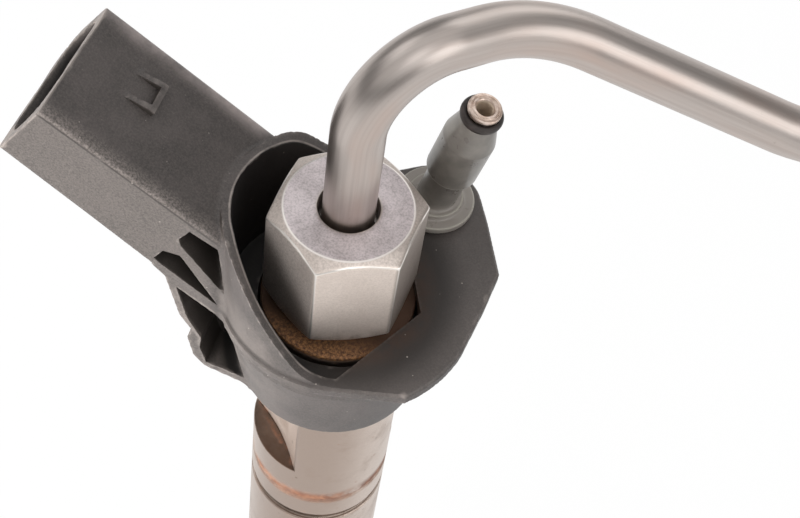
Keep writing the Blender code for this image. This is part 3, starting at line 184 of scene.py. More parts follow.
def body_surface(around=192):
    """The body's outline turned about z. Between the ledge and the flats' top the radius is cut to
    half the width over flats, less the cutter's scoop, a parabola across the flat, divided by the
    cosine of the angle from the flat's own direction; on the stub it falls by the thread's depth
    times a triangle wave of height and angle."""
    radius, height = body_outline.T
    outer = np.argmax((radius > BODY_R - 0.01) & (height > SCORE + 0.8))
    top = np.argmax((height > STEP - 1) & (np.arange(len(height)) > outer))
    stub = np.argmax(height > STEP + 1.5)
    beside = 0.02
    ledges = [SCORE + 0.9, LEDGE - beside, LEDGE + beside, FLAT_TOP - beside, FLAT_TOP + beside]
    flats = np.stack([np.full(len(ledges), BODY_R), ledges], 1)
    turns = np.linspace(STEP + 1.6, STUB_TOP - 0.5, 72)
    thread = np.stack([np.full(len(turns), STUB_R), turns], 1)
    line = np.concatenate([body_outline[:outer], flats, body_outline[top:stub], thread, body_outline[stub:]])
    angle = np.linspace(0, 2 * pi, around, endpoint=False)
    r, z = (np.repeat(column[:, None], around, 1) for column in line.T)
    off = (angle - FLAT_ANGLE + pi / 2) % pi - pi / 2
    scoop = SCOOP * np.maximum(1 - (FLAT_HALF * np.tan(np.clip(off, -1, 1)) / FLAT_REACH) ** 2, 0)
    flat = (FLAT_HALF - scoop) / np.maximum(np.cos(off), 0.2)
    milled = (z > LEDGE) & (z < FLAT_TOP) & (r > FLAT_HALF + 0.5)
    r = np.where(milled, np.minimum(r, flat), r)
    wave = np.abs((z / THREAD_PITCH - angle / (2 * pi)) % 1 - 0.5) * 2
    threaded = (z > STEP + 1.55) & (z < STUB_TOP - 0.45) & (r > STUB_R - 0.05)
    r = np.where(threaded, r - THREAD_DEPTH * np.clip(wave * 1.25 - 0.1, 0, 1), r)
    return np.stack([r * np.cos(angle), r * np.sin(angle), z], -1) * MM


class Shade:
    """A socket of a material's nodes. Arithmetic on it adds Math nodes."""

    def __init__(self, tree, socket):
        self.tree, self.socket = tree, socket

    def node(self, kind, settings, sockets, out=0):
        """Any node: its settings first, then values or links by socket name or number."""
        made = self.tree.nodes.new("ShaderNode" + kind)
        for name, value in settings.items():
            setattr(made, name, value)
        for name, value in sockets.items():
            if isinstance(value, Shade):
                self.tree.links.new(value.socket, made.inputs[name])
            else:
                made.inputs[name].default_value = value
        return Shade(self.tree, made.outputs[out])

    def math(self, operation, first, second=0.0):
        return self.node("Math", {"operation": operation}, {0: first, 1: second})

    def __add__(self, other):
        return self.math("ADD", self, other)

    def __sub__(self, other):
        return self.math("SUBTRACT", self, other)

    def __rsub__(self, other):
        return self.math("SUBTRACT", other, self)

    def __mul__(self, other):
        return self.math("MULTIPLY", self, other)

    __radd__, __rmul__ = __add__, __mul__

    def top(self, other):
        return self.math("MAXIMUM", self, other)

    def far(self):
        return self.math("ABSOLUTE", self)

    def ramp(self, low, high):
        """0 below low, 1 above high, smooth between."""
        settings = {"interpolation_type": "SMOOTHSTEP"}
        return self.node("MapRange", settings, {"Value": self, "From Min": low, "From Max": high})

    def under(self, low, high):
        """1 below low, 0 above high."""
        return 1 - self.ramp(low, high)

    def near(self, inner, outer):
        """1 within inner of zero, 0 past outer."""
        return self.far().under(inner, outer)

    def mix(self, first, second):
        """From the first colour to the second, by this value."""
        first, second = (c if isinstance(c, Shade) else (*c, 1) for c in (first, second))
        return self.node("Mix", {"data_type": "RGBA"}, {0: self, 6: first, 7: second}, 2)

    def axis(self, letter):
        return self.node("SeparateXYZ", {}, {0: self}, letter)

    def stretch(self, x, y, z):
        return self.node("VectorMath", {"operation": "MULTIPLY"}, {0: self, 1: (x, y, z)})

    def shift(self, x, y, z):
        return self.node("VectorMath", {"operation": "ADD"}, {0: self, 1: (x, y, z)})

    def length(self):
        return self.node("VectorMath", {"operation": "LENGTH"}, {0: self}, "Value")

    def noise(self, size, detail=3.0, rough=0.55):
        """Noise with features of about a size, in metres."""
        sockets = {"Vector": self, "Scale": 1 / size, "Detail": detail, "Roughness": rough}
        return self.node("TexNoise", {}, sockets)

    def cells(self, size):
        """Distance to the nearest of points scattered a size apart."""
        return self.node("TexVoronoi", {}, {"Vector": self, "Scale": 1 / size})

    def bump(self, strength, distance):
        return self.node("Bump", {}, {"Strength": strength, "Distance": distance, "Height": self})

    def to(self, shader, name):
        self.tree.links.new(self.socket, shader.inputs[name])


def new_finish(name, metallic, **fixed):
    """A material with fixed sockets, its Principled shader, its Object coordinates and a reader of
    the piece's own attributes."""
    made = bpy.data.materials.new(name)
    made.use_nodes = True
    tree = made.node_tree
    shader = tree.nodes["Principled BSDF"]
    shader.inputs["Metallic"].default_value = metallic
    for socket, value in fixed.items():
        shader.inputs[socket.replace("_", " ")].default_value = value
    place = Shade(tree, tree.nodes.new("ShaderNodeTexCoord").outputs["Object"])

    def own(attribute, out="Fac"):
        return place.node("Attribute", {"attribute_name": attribute}, {}, out)

    return made, shader, place, own


def srgb(*channels):
    """0-255 display values as linear light."""
    return tuple(c / 255 / 12.92 if c < 10.3 else ((c / 255 + 0.055) / 1.055) ** 2.4 for c in channels)


body_finish, shader, place, own = new_finish("turned_steel", 1.0)
height, ring_r = place.axis("Z"), place.stretch(1, 1, 0).length()
turning = place.stretch(12, 12, 900).noise(0.01, 3)
patches, specks = place.noise(0.007, 4, 0.6), place.noise(0.0016, 4, 0.65)
RUST_AT, WALL_FOOT = 101.0, 7.2
over_groove, over_ledge = height - GROOVE * MM, height - LEDGE * MM
rust_ring = (height - RUST_AT * MM + patches * 0.0016).near(0.0004, 0.0021)
low_ring = (over_groove + patches * 0.0008).near(0.0008, 0.0016)
milled = ring_r.under(0.00970, 0.00984) * over_ledge.near(0.00005, 0.0003)
wall = ring_r.under(0.0094, 0.0097) * over_ledge.ramp(0.0002, 0.0005)
wall = wall * (height - FLAT_TOP * MM).under(-0.0002, 0.0001)
to_flat = place.axis("X") * cos(FLAT_ANGLE) + place.axis("Y") * sin(FLAT_ANGLE)
corner_rust = (to_flat.far() - WALL_FOOT * MM).near(0.0002, 0.0007) * over_ledge.near(0.0002, 0.0008)
corner_rust = corner_rust * ring_r.under(0.0093, 0.0096)
# Painted shade: the groove round the body is painted darker, in patches.
groove_shade = ring_r.under(0.0093, 0.0097) * over_groove.near(0.0008, 0.0010)
pits = (0.1 - place.cells(0.0034)).ramp(0.0, 0.05) * place.noise(0.006).ramp(0.5, 0.6)
crown_rust = (height - STEP * MM).ramp(-0.0011, -0.0003)
rust = (rust_ring * patches.ramp(0.34, 0.52) * 0.95).top(low_ring * patches.ramp(0.5, 0.75) * 0.6)
rust = rust.top(specks.ramp(0.64, 0.75) * 0.5).top(crown_rust).top(corner_rust * specks.ramp(0.4, 0.6) * 0.7)
sand = place.noise(0.0004, 4, 0.75)
front = (place.axis("Y") * -1).ramp(0.0045, 0.0098)
steel = turning.ramp(0.25, 0.75).mix(srgb(180, 164, 153), srgb(214, 199, 188))
# Painted shade: the front of the body is painted darker and warmer.
steel = (front * 0.7).mix(steel, srgb(156, 136, 123))
steel = (patches.ramp(0.5, 0.75) * 0.8).mix(steel, srgb(162, 142, 128))
rust_tone = specks.ramp(0.3, 0.7).mix(srgb(108, 66, 46), srgb(156, 108, 80))
crown_tone = (sand.ramp(0.35, 0.7) * front).mix(srgb(80, 56, 41), srgb(190, 136, 88))
rust_tone = crown_rust.mix(rust_tone, crown_tone)
# The ledge's top face is painted dark brown, speckled.
steel = (milled * 0.85).mix(steel, specks.mix(srgb(88, 72, 62), srgb(118, 100, 88)))
steel = (groove_shade * patches.ramp(0.35, 0.55) * 0.8).mix(steel, srgb(104, 91, 82))
steel = (pits * 0.7).mix(steel, srgb(118, 98, 84))
rust.mix(steel, rust_tone).to(shader, "Base Color")
(rust * 0.35 + turning * 0.2 + wall * 0.15 + 0.24).to(shader, "Roughness")
(1 - rust * 0.85 - wall * 0.4).to(shader, "Metallic")
(turning * 0.4 + rust * specks).bump(0.25, 0.0001).to(shader, "Normal")

steel_body = skin("steel_body", body_surface(), "injector")
steel_body.data.materials.append(body_finish)
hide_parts("injector_body")

# Nozzle end. A hardened nozzle with its seat tip and collar, clamped to the body by a phosphated
# retaining nut, over a soft copper washer that seals it in the cylinder head.

nozzle = skin(
    "ground_nozzle",
    turned(
        soften(
            [
                (0, -19.0), (0.45, -18.88), (0.8, -18.6), (1.06, -18.19), (3.5, -15.2), (3.5, 5.8),
                (6.7, 5.8), (7.1, 6.2), (7.1, 20.0), (3.8, 20.0), (3.8, 9.45), (1.8, 9.45),
                (1.8, -14.78), (0, -17.9),
            ],
            0.15,
        )
    ),
    "injector",
)
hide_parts("nozzle_body")
ground_tip, shader, place, own = new_finish("heat_tinted_steel", 1.0)
lines, soot = place.stretch(10, 10, 700).noise(0.01, 3), place.noise(0.0012, 4, 0.65)
burnt = (place.axis("Z") + soot * 0.004).under(-0.0165, -0.0080)
tint = burnt.mix(srgb(196, 192, 188), srgb(112, 92, 80))
(burnt * soot.ramp(0.45, 0.7)).mix(tint, srgb(48, 42, 38)).to(shader, "Base Color")
(lines * 0.18 + burnt * 0.25 + 0.16).to(shader, "Roughness")
(1 - burnt * soot.ramp(0.45, 0.7) * 0.8).to(shader, "Metallic")
lines.bump(0.12, 0.00003).to(shader, "Normal")
nozzle.data.materials.append(ground_tip)

nozzle_nut = skin(
    "nozzle_retaining_nut",
    turned(
        soften(
            [
                (7.4, 37.7), (8.75, 37.7), (8.75, 31.4), (8.55, 31.2), (8.55, 30.4), (8.75, 30.2),
                (8.75, 4.4), (7.5, 1.8), (3.8, 1.8), (3.8, 5.5), (7.4, 5.5),
            ],
            0.25, ring=True,
        )
    ),
    "injector", ring=True,
)
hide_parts("nozzle_nut")
phosphate, shader, place, own = new_finish("phosphated_steel", 1.0)
blotch, fine = place.noise(0.003, 4, 0.6), place.noise(0.0004, 2)
heat = place.axis("Z").under(0.002, 0.012)
grey = blotch.ramp(0.3, 0.7).mix(srgb(112, 108, 104), srgb(146, 141, 136))
wear = own("edge").ramp(0.2, 1.2)
wear.mix(heat.mix(grey, srgb(86, 70, 58)), srgb(190, 184, 178)).to(shader, "Base Color")
(blotch * 0.25 + 0.34).to(shader, "Roughness")
fine.bump(0.2, 0.00005).to(shader, "Normal")
nozzle_nut.data.materials.append(phosphate)

washer = skin(
    "sealing_washer",
    turned(soften([(3.85, 0.0), (7.5, 0.0), (7.5, 1.5), (3.85, 1.5)], 0.35, ring=True)),
    "injector", ring=True,
)
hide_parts("copper_washer")
copper, shader, place, own = new_finish("annealed_copper", 1.0)
tarnish, rub = place.noise(0.002, 4, 0.6), place.noise(0.0003, 2)
tarnish.ramp(0.35, 0.7).mix(srgb(206, 130, 96), srgb(138, 78, 58)).to(shader, "Base Color")
(tarnish * 0.3 + 0.22).to(shader, "Roughness")
rub.bump(0.15, 0.00005).to(shader, "Normal")
washer.data.materials.append(copper)

# Plastic head. One moulding of black glass-filled nylon over the top of the body: the connector and
# its ribbed gusset, the collar round the union nut, the plate under the return nipple, the skirt.

PLATE, RIM, TILT = 141.0, 155.8, radians(32.6)
REACH, CONN_TOP, CONN_FLOOR, CONN_HALF, CONN_MID, WALL = 43.5, 4.48, -6.22, 9.5, 0.4, 1.3
GUSSET_HALF, RIB_HALF, FOOT = 9.0, 3.6, -16.1
LATCH_LOW, LATCH_MID, LATCH_HALF, LATCH_BAR, LATCH_TALL, LATCH_FALL = 32.5, 2.5, 2.2, 0.75, 1.0, 0.3
NIPPLE_X, NIPPLE_Y = 7.2, 16.8
CROWN, CROWN_FROM, SIDE_LEAN, FLOOR_FALL, MOUTH_SKEW, WAIST = 0.08, 7.2, 0.066, 0.016, 0.035, -0.9
COLLAR_R, COLLAR_FOOT, RIM_FROM, RIM_WAY = 14.8, 138.0, 1.2, (0.7716, 0.6361)
SKIRT_FOOT, SKIRT_TALL, SKIRT_FOOT_R, SKIRT_FLARE = 124.6, 13.4, 12.1, 2.3
BOSS_R, BOSS_FOOT, HOLE_R, HOLE_FLOOR, SEAT_R, SEAT_TOP = 4.6, 134.2, 2.8, 135.4, 10.16, 139.9
WELL_R, WELL_FLOOR, WELL_X, WELL_Y, WELL_WAY = 13.5, 138.2, 8.0, 5.4, (0.887, 0.461)
WELL_BACK, WELL_BACK_R, SOCKET_DEEP, HEAD_CELL = 2.3, 11.6, 16.0, 0.33
PLATE_R, CORNER_R, LOBE_R = 15.1, 17.67, 6.4


def on_side(reach, over):
    """A point of the connector's side view as (x, height over the plate)."""
    return -reach * cos(TILT) + over * sin(TILT), reach * sin(TILT) + over * cos(TILT)


gusset_side = [
    on_side(REACH - 22.6, CONN_FLOOR + 1.0), on_side(REACH - 22.6, CONN_FLOOR - 0.8), (-19.7, 3.7),
    (-17.9, -4.2), (-16.4, -6.7), (-16.9, -9.0), (-16.1, -12.9), (-14.5, FOOT + 1.3), (-8.1, FOOT),
    (-8.1, on_side(10.0, -0.87)[1]), on_side(12.0, CONN_FLOOR + 1.0),
]
pocket_sides = (
    [(-17.9, 12.0), (-16.5, 14.0), (-13.0, 12.2), (-11.4, 3.0), (-17.6, 10.8)],
    [(-21.0, 6.9), (-19.85, 8.9), (-17.7, 8.9), (-12.6, 0.9), (-20.4, 6.3)],
    [
        (-18.3, 2.1), (-11.65, -2.2), (-10.2, -6.0), (-8.7, -14.5), (-14.3, -13.8), (-15.2, -10.6),
        (-15.0, -8.2), (-16.9, -4.2),
    ],
)
arcs = (60, 300, 41), (-43.5, -11.5, 9), (-30, 210, 41)
around, corner, lobe = (np.radians(np.linspace(*arc)) for arc in arcs)
plate_points = np.concatenate(
    [
        np.stack([PLATE_R * np.cos(around), PLATE_R * np.sin(around)], 1),
        np.stack([CORNER_R * np.cos(corner), CORNER_R * np.sin(corner)], 1), [(18.4, 9.4)],
        np.stack([NIPPLE_X + LOBE_R * np.cos(lobe), NIPPLE_Y + LOBE_R * np.sin(lobe)], 1),
    ]
)
plate_ways = [(cos(radians(a)), sin(radians(a))) for a in range(0, 360, 3)]
plate_sides = [(*way, (plate_points @ way).max()) for way in plate_ways]


def join(a, b, round_off):
    """The nearer of two distances, with a fillet where they are within round_off of each other."""
    near = np.clip(0.5 + 0.5 * (b - a) / round_off, 0, 1)
    return b + (a - b) * near - round_off * near * (1 - near)


def both(first, *others):
    """What lies inside every shape: the greatest of their distances."""
    for other in others:
        first = np.maximum(first, other)
    return first


def slab(value, start, end):
    """Distance to the space between two parallel planes."""
    return np.maximum(start - value, value - end)


def box_outline(across, up, half, start, end, radius):
    """Distance to a rectangle with round corners; radius may differ from point to point."""
    mid, tall = (start + end) / 2, (end - start) / 2
    dx, dy = np.abs(across) - half + radius, np.abs(up - mid) - tall + radius
    return np.minimum(np.maximum(dx, dy), 0) + np.hypot(np.maximum(dx, 0), np.maximum(dy, 0)) - radius


def outline(across, up, corners):
    """Distance to a polygon: the least distance to its edges, negative where an odd number of them
    lies to one side."""
    least, odd = np.inf, False
    for (ax, ay), (bx, by) in zip(corners, corners[1:] + corners[:1]):
        run, rise = bx - ax, by - ay
        along = np.clip(((across - ax) * run + (up - ay) * rise) / (run**2 + rise**2), 0, 1)
        least = np.minimum(least, np.hypot(across - ax - run * along, up - ay - rise * along))
        spans = (ay > up) != (by > up)
        odd = odd ^ (spans & (across < ax + run * (up - ay) / (rise if rise else 1)))
    return np.where(odd, -least, least)


def head_distance(X, Y, Z):
    """How far a place, in mm, is outside the moulding: block and gusset less pockets, joined to
    collar, skirt, plate and boss, with the latch on top; less the recess round the nut, the socket,
    the seat on the body and the nipple's hole."""
    out = -X * cos(TILT) + (Z - PLATE) * sin(TILT)
    up = X * sin(TILT) + (Z - PLATE) * cos(TILT)
    axis_r, nipple_r = np.hypot(X, Y), np.hypot(X - NIPPLE_X, Y - NIPPLE_Y)
    crown = CROWN * np.maximum(Y - CROWN_FROM, 0) ** 2
    across = Y - CONN_MID - np.where(Y < CONN_MID, SIDE_LEAN, 0) * (up - CONN_FLOOR)
    floor = CONN_FLOOR - FLOOR_FALL * np.clip(REACH - out, 0, 25)
    front_corner = np.where(up < WAIST, np.clip(0.06 * (out - 21.5) + 0.2, 0.2, 1.5), 0.5)
    corner = np.where(Y > CONN_MID, np.where(up < WAIST, 4.5, 1.0), front_corner)
    block = box_outline(across, up + crown, CONN_HALF, floor, CONN_TOP, corner)
    block = both(block, slab(out, 10.0, REACH - MOUTH_SKEW * Y))
    block = np.minimum(block, both(outline(X, Z - PLATE, gusset_side), np.abs(Y) - GUSSET_HALF))
    for corners in pocket_sides:
        block = both(block, -both(outline(X, Z - PLATE, corners), RIB_HALF - np.abs(Y)))
    slope = (X - RIM_FROM) * RIM_WAY[0] + (Z - PLATE) * RIM_WAY[1]
    rim = -join(RIM - Z, -join(slope, Z - PLATE, 2.5), 2.2)
    collar = both(axis_r - COLLAR_R, rim, COLLAR_FOOT - Z)
    skirt_r = SKIRT_FOOT_R + SKIRT_FLARE * np.minimum((Z - SKIRT_FOOT) / SKIRT_TALL, 1)
    skirt = both((axis_r - skirt_r) * 0.985, slab(Z, SKIRT_FOOT, PLATE - 0.8))
    plate = both(*(X * x + Y * y - far for x, y, far in plate_sides))
    plate = both(plate, slab(Z, PLATE - 1.6, PLATE), plate + Z - PLATE + 0.3)
    boss = both(nipple_r - BOSS_R, slab(Z, BOSS_FOOT, PLATE - 1.0))
    head = np.minimum(np.minimum(collar, skirt), join(plate, boss, 0.6))
    head = join(head, block, 0.9)
    latch = both(np.abs(Y - LATCH_MID) - LATCH_HALF, slab(out, LATCH_LOW, LATCH_LOW + 6))
    latch = both(latch, CONN_TOP - 1.0 - up)
    fall = np.maximum(out - LATCH_LOW - LATCH_BAR, 0) * LATCH_FALL
    latch = both(latch, (up - CONN_TOP - LATCH_TALL + fall) * 0.95)
    hollow = both(np.abs(Y - LATCH_MID) - LATCH_HALF + LATCH_BAR, LATCH_LOW + LATCH_BAR - out)
    head = np.minimum(head, both(latch, -hollow))
    ends = (X - WELL_X) * WELL_WAY[0] + (np.abs(Y) - WELL_Y) * WELL_WAY[1]
    recess = np.minimum(both(axis_r - WELL_R, ends), np.hypot(X + WELL_BACK, Y) - WELL_BACK_R)
    recess = both(recess, WELL_FLOOR - Z)
    inner_corner = np.where(Y > CONN_MID, 2.4, 3.4)
    inner_floor, inner_top = CONN_FLOOR + WALL, CONN_TOP - WALL
    socket = box_outline(across, up + crown, CONN_HALF - WALL, inner_floor, inner_top, inner_corner)
    socket = both(socket, REACH - SOCKET_DEEP - out)
    seat, hole = both(axis_r - SEAT_R, Z - SEAT_TOP), both(nipple_r - HOLE_R, HOLE_FLOOR - Z)
    return both(head, -recess, -socket, -seat, -hole)


def downhill(distance, at, step=0.01):
    """The direction in which a distance grows fastest, from its differences over a small step."""
    slope = [distance(*(at + step * way).T) - distance(*(at - step * way).T) for way in np.eye(3)]
    slope = np.stack(slope, 1)
    return slope / np.maximum(np.linalg.norm(slope, axis=1), 1e-9)[:, None]


def wrapped(distance, box, cell):
    """The zero surface of a distance, in metres, over a grid of cells. Each grid line that crosses
    it gets a face round the crossing. Each cell that it crosses gets a point: the place nearest,
    by least squares, to the flat planes through its crossings, so that edges stay sharp."""
    low, high = (np.array(c) / MM for c in box)
    low, high = low - 2.6 * cell, high + 2.6 * cell
    counts = np.ceil((high - low) / cell).astype(int) + 1
    X, Y, Z = np.ogrid[tuple(slice(0, n) for n in counts)]
    field = distance(low[0] + X * cell, low[1] + Y * cell, low[2] + Z * cell)
    inside = field < 0
    size = counts - 1
    corners = [tuple(slice(c, c + n) for c, n in zip(at, size)) for at in np.ndindex(2, 2, 2)]
    count = sum(inside[corner].astype(np.int8) for corner in corners)
    mixed = (count > 0) & (count < 8)
    number = np.full(mixed.shape, -1)
    number[mixed] = np.arange(mixed.sum())
    cell_at = np.argwhere(mixed)
    square, pull = np.zeros((len(cell_at), 3, 3)), np.zeros(cell_at.shape)
    total, hits = np.zeros(cell_at.shape), np.zeros(len(cell_at))
    faces = []
    for axis in range(3):
        unit = np.eye(3, dtype=int)[axis]
        others = np.delete(np.eye(3, dtype=int), axis, 0)
        crossed = inside != np.roll(inside, -1, axis)
        line = np.argwhere(crossed & (np.indices(inside.shape)[axis] < size[axis]))
        a, b = field[tuple(line.T)], field[tuple((line + unit).T)]
        hit = low + cell * (line + unit * (a / (a - b))[:, None])
        normal = downhill(distance, hit)
        reach = (normal * hit).sum(1)[:, None]
        ring = [line, line - others[0], line - others[0] - others[1], line - others[1]]
        quad = np.stack([number[tuple(c.T)] for c in ring], 1)
        for cells in quad.T:
            np.add.at(square, cells, normal[:, :, None] * normal[:, None, :])
            np.add.at(pull, cells, normal * reach)
            np.add.at(total, cells, hit)
            np.add.at(hits, cells, 1)
        turned_in = inside[tuple(line.T)] == (axis != 1)
        faces.append(np.where(turned_in[:, None], quad, quad[:, ::-1]))
    mean = total / hits[:, None]
    hold = 0.02
    best = np.linalg.solve(square + hold * np.eye(3), (pull + hold * mean)[:, :, None])[:, :, 0]
    corner = low + cell * cell_at
    return np.clip(best, corner, corner + cell) * MM, np.concatenate(faces)


head_mesh = wrapped(head_distance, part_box("head_overmould"), HEAD_CELL)
head_piece = solid("moulded_head", *head_mesh, "injector", 35, calm=2)
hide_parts("head_overmould")
mesh = head_piece.data
points, normals = np.empty(len(mesh.vertices) * 3), np.empty(len(mesh.vertices) * 3)
mesh.vertices.foreach_get("co", points)
mesh.vertex_normals.foreach_get("vector", normals)
points, normals = points.reshape(-1, 3) / MM, normals.reshape(-1, 3)
# How open each point is, from the distance found along its normal at three lengths; the finish below paints
# shade into the hollows by it.
looks = (1.5, 4.0, 8.0)
free = sum(np.clip(head_distance(*(points + normals * away).T) / away, 0, 1) for away in looks) / len(looks)
kept = mesh.attributes.new("hollow", "FLOAT", "POINT")
kept.data.foreach_set("value", (1 - free).astype(np.float32))

nylon, shader, place, own = new_finish("black_nylon", 0.0, Specular_IOR_Level=0.5)
edge, level, aside = own("edge"), place.axis("Z"), place.axis("Y")
grain, cloud = place.noise(0.00026, 3, 0.7), place.noise(0.007, 4, 0.6)
smear = place.stretch(1, 1, 0.35).noise(0.0022, 4, 0.65)
scuff = place.stretch(0.25, 1, 1).noise(0.0005, 4, 0.75)
dust = (0.09 - place.cells(0.0014)).ramp(0.0, 0.04) * place.noise(0.003).ramp(0.54, 0.6)
over_top = place.axis("X") * sin(TILT) + level * cos(TILT) - PLATE * MM * cos(TILT)
on_block = (place.axis("X") * -1).ramp(0.012, 0.015)
# The connector's front side. Its grain-mottled lightening further down is painted light.
front = (aside * -1).ramp(0.0058, 0.0084) * on_block
seam = front * (over_top - 0.0040).near(0.00004, 0.00020) * smear.ramp(0.3, 0.5)
band = front * over_top.ramp(0.0041, 0.0043) * grain.ramp(0.38, 0.66) * cloud.ramp(0.2, 0.6)
# Painted sheen: a lighter band along the connector's back top edge, a painted reflection.
painted_sheen = aside.ramp(0.0064, 0.0100) * on_block * over_top.ramp(0.001, 0.003)
worn = edge.ramp(0.5, 1.4) * (smear.ramp(0.3, 0.6) * 0.6 + 0.4)
# Painted shade: points deep in hollows are painted near black, darkest inside the collar.
hollow_shade = own("hollow").ramp(0.35, 0.75)
ring_r = place.stretch(1, 1, 0).length()
lit_side = ((place.axis("X") * 0.6 + aside * 0.8) * -1).ramp(0.0105, 0.0145)
lit_side = lit_side * level.under(0.1440, 0.1500) * ring_r.under(0.0152, 0.0158)
reach = level * sin(TILT) - place.axis("X") * cos(TILT) - PLATE * MM * sin(TILT)
# Painted shade: the inside of the socket and the floor of the recess round the nut are painted near black,
# darker towards the connector.
inside = (aside - CONN_MID * MM).near(0.0085, 0.0089) * reach.ramp(0.026, 0.028)
inside = inside * over_top.ramp(-0.0057, -0.0052) * over_top.under(0.0034, 0.0039)
inside = inside * reach.under(0.0423, 0.0430)
well_end = (place.axis("X") - WELL_X * MM) * WELL_WAY[0] + (aside.far() - WELL_Y * MM) * WELL_WAY[1]
well_round = (ring_r - WELL_R * MM).top(well_end) * -1
well_back = WELL_BACK_R * MM - place.shift(WELL_BACK * MM, 0, 0).stretch(1, 1, 0).length()
past_well = well_round.top(well_back) * -1
well = past_well.under(0.00003, 0.00012) * level.ramp(0.1370, 0.1378)
over_plate = level - PLATE * MM
on_plate = over_plate.ramp(-0.0005, -0.0001) * over_plate.under(0.0002, 0.0010)
soot = ring_r.under(0.0125, 0.0178) * on_plate
# The socket's mouth rim and a line along the recess rim are painted lighter: partly rubbed wear, partly a
# painted highlight.
lip = (reach + aside * MOUTH_SKEW).ramp(0.04322, 0.04345) * (1 - inside)
rim_line = (past_well - 0.0002).near(0.00005, 0.00016) * over_plate.ramp(0.0002, 0.0015)
lip = lip.top(rim_line)
stain = ring_r.under(0.0100, 0.0135) * level.ramp(0.1385, 0.1395) * smear.ramp(0.25, 0.6)
black = cloud.ramp(0.3, 0.75).mix(srgb(54, 50, 48), srgb(76, 70, 68))
hollow_shade_tone = ring_r.ramp(0.0140, 0.0147).mix(srgb(20, 18, 17), srgb(50, 45, 41))
recess_shade_tone = place.axis("X").ramp(-0.002, 0.008).mix(srgb(24, 21, 20), srgb(50, 44, 40))
for layer, tone in (
    (grain.ramp(0.3, 0.75) * 0.45, srgb(104, 96, 92)),
    (scuff.ramp(0.60, 0.8) * 0.35, srgb(138, 129, 124)),
    (painted_sheen * cloud.ramp(0.2, 0.7) * 0.9, srgb(192, 178, 174)),
    (lit_side * cloud.ramp(0.2, 0.6) * 0.25, srgb(150, 140, 133)),
    (front * (grain.ramp(0.25, 0.75) * 0.5 + 0.15), srgb(108, 101, 96)),
    (on_plate * 0.35, srgb(98, 92, 89)),
    (lip * smear.ramp(0.25, 0.6) * 0.6, srgb(158, 148, 141)),
    (hollow_shade * 0.92, hollow_shade_tone),
    (inside.top(well) * 0.85, recess_shade_tone),
    (soot * 0.9, srgb(34, 29, 26)),
    (stain * 0.75, srgb(58, 40, 29)),
    (band * 0.55, srgb(150, 140, 134)),
    (seam * 0.8, srgb(48, 43, 41)),
    (worn * 0.3, srgb(164, 154, 147)),
    (dust * 0.7, srgb(165, 156, 148)),
):
    black = layer.mix(black, tone)
black.to(shader, "Base Color")
(cloud * 0.2 + smear * 0.15 + 0.36).to(shader, "Roughness")
grain.bump(0.25, 0.00006).to(shader, "Normal")
head_piece.data.materials.append(nylon)

# Contact blades and leads. Tinned brass stampings pressed into the socket's floor, with two copper
# leads from the actuator soldered to their tails.

tinned, shader, place, own = new_finish("tinned_brass_blade", 1.0)
tarnish = place.noise(0.0012, 4, 0.6)
tarnish.ramp(0.3, 0.75).mix(srgb(214, 208, 192), srgb(168, 150, 112)).to(shader, "Base Color")
(tarnish * 0.25 + 0.2).to(shader, "Roughness")
place.noise(0.0002, 2).bump(0.1, 0.00003).to(shader, "Normal")


def give(finish, *names):
    """Give CAD nodes a finish."""
    for name in names:
        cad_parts[name].material_slots[0].material = finish


give(tinned, "contact_pin_left", "contact_pin_right")
give(copper, "lead_left", "lead_right")

# Works inside the body. Ground and lapped steel pieces, a layered ceramic stack in its slotted
# spring sleeve, and coil springs, all out of sight once the body is closed.

ground, shader, place, own = new_finish("ground_steel", 1.0)
lines = place.stretch(10, 10, 700).noise(0.01, 3)
tone = place.noise(0.003, 3)
tone.mix(srgb(196, 196, 198), srgb(214, 212, 208)).to(shader, "Base Color")
(lines * 0.18 + 0.16).to(shader, "Roughness")
lines.bump(0.12, 0.00003).to(shader, "Normal")
spring_steel, shader, place, own = new_finish("drawn_spring_wire", 1.0)
scale = place.noise(0.0006, 3)
scale.mix(srgb(120, 118, 120), srgb(160, 156, 152)).to(shader, "Base Color")
(scale * 0.25 + 0.25).to(shader, "Roughness")
scale.bump(0.15, 0.00003).to(shader, "Normal")
layered, shader, place, own = new_finish("layered_ceramic", 0.0)
stacked = place.axis("Z") * 9000
layer = stacked.math("SINE", stacked).ramp(-0.2, 0.6)
layer.mix(srgb(120, 100, 74), srgb(168, 150, 122)).to(shader, "Base Color")
(layer * 0.1 + 0.5).to(shader, "Roughness")
give(
    ground,
    "actuator_foot", "actuator_head", "control_sleeve", "coupler_cylinder", "coupler_piston",
    "dowel_pin_1", "dowel_pin_2", "edge_filter", "nozzle_needle", "pipe_thrust_ring", "rail_thrust_ring",
    "spring_shim", "throttle_plate", "valve_bolt", "valve_piston", "valve_plate",
)
give(spring_steel, "coupler_spring", "needle_spring", "preload_sleeve", "valve_spring")
give(layered, "piezo_stack")

# High-pressure pipe. Drawn seamless steel tube, bent cold in three places, with a conical sealing
# head pressed up on each end inside its union nut.

PIPE_R, PIPE_BORE = 3.175, 1.2
PIPE_TIP = 146.1


def heading(azimuth, elevation):
    return np.array([cos(elevation) * cos(azimuth), cos(elevation) * sin(azimuth), sin(elevation)])


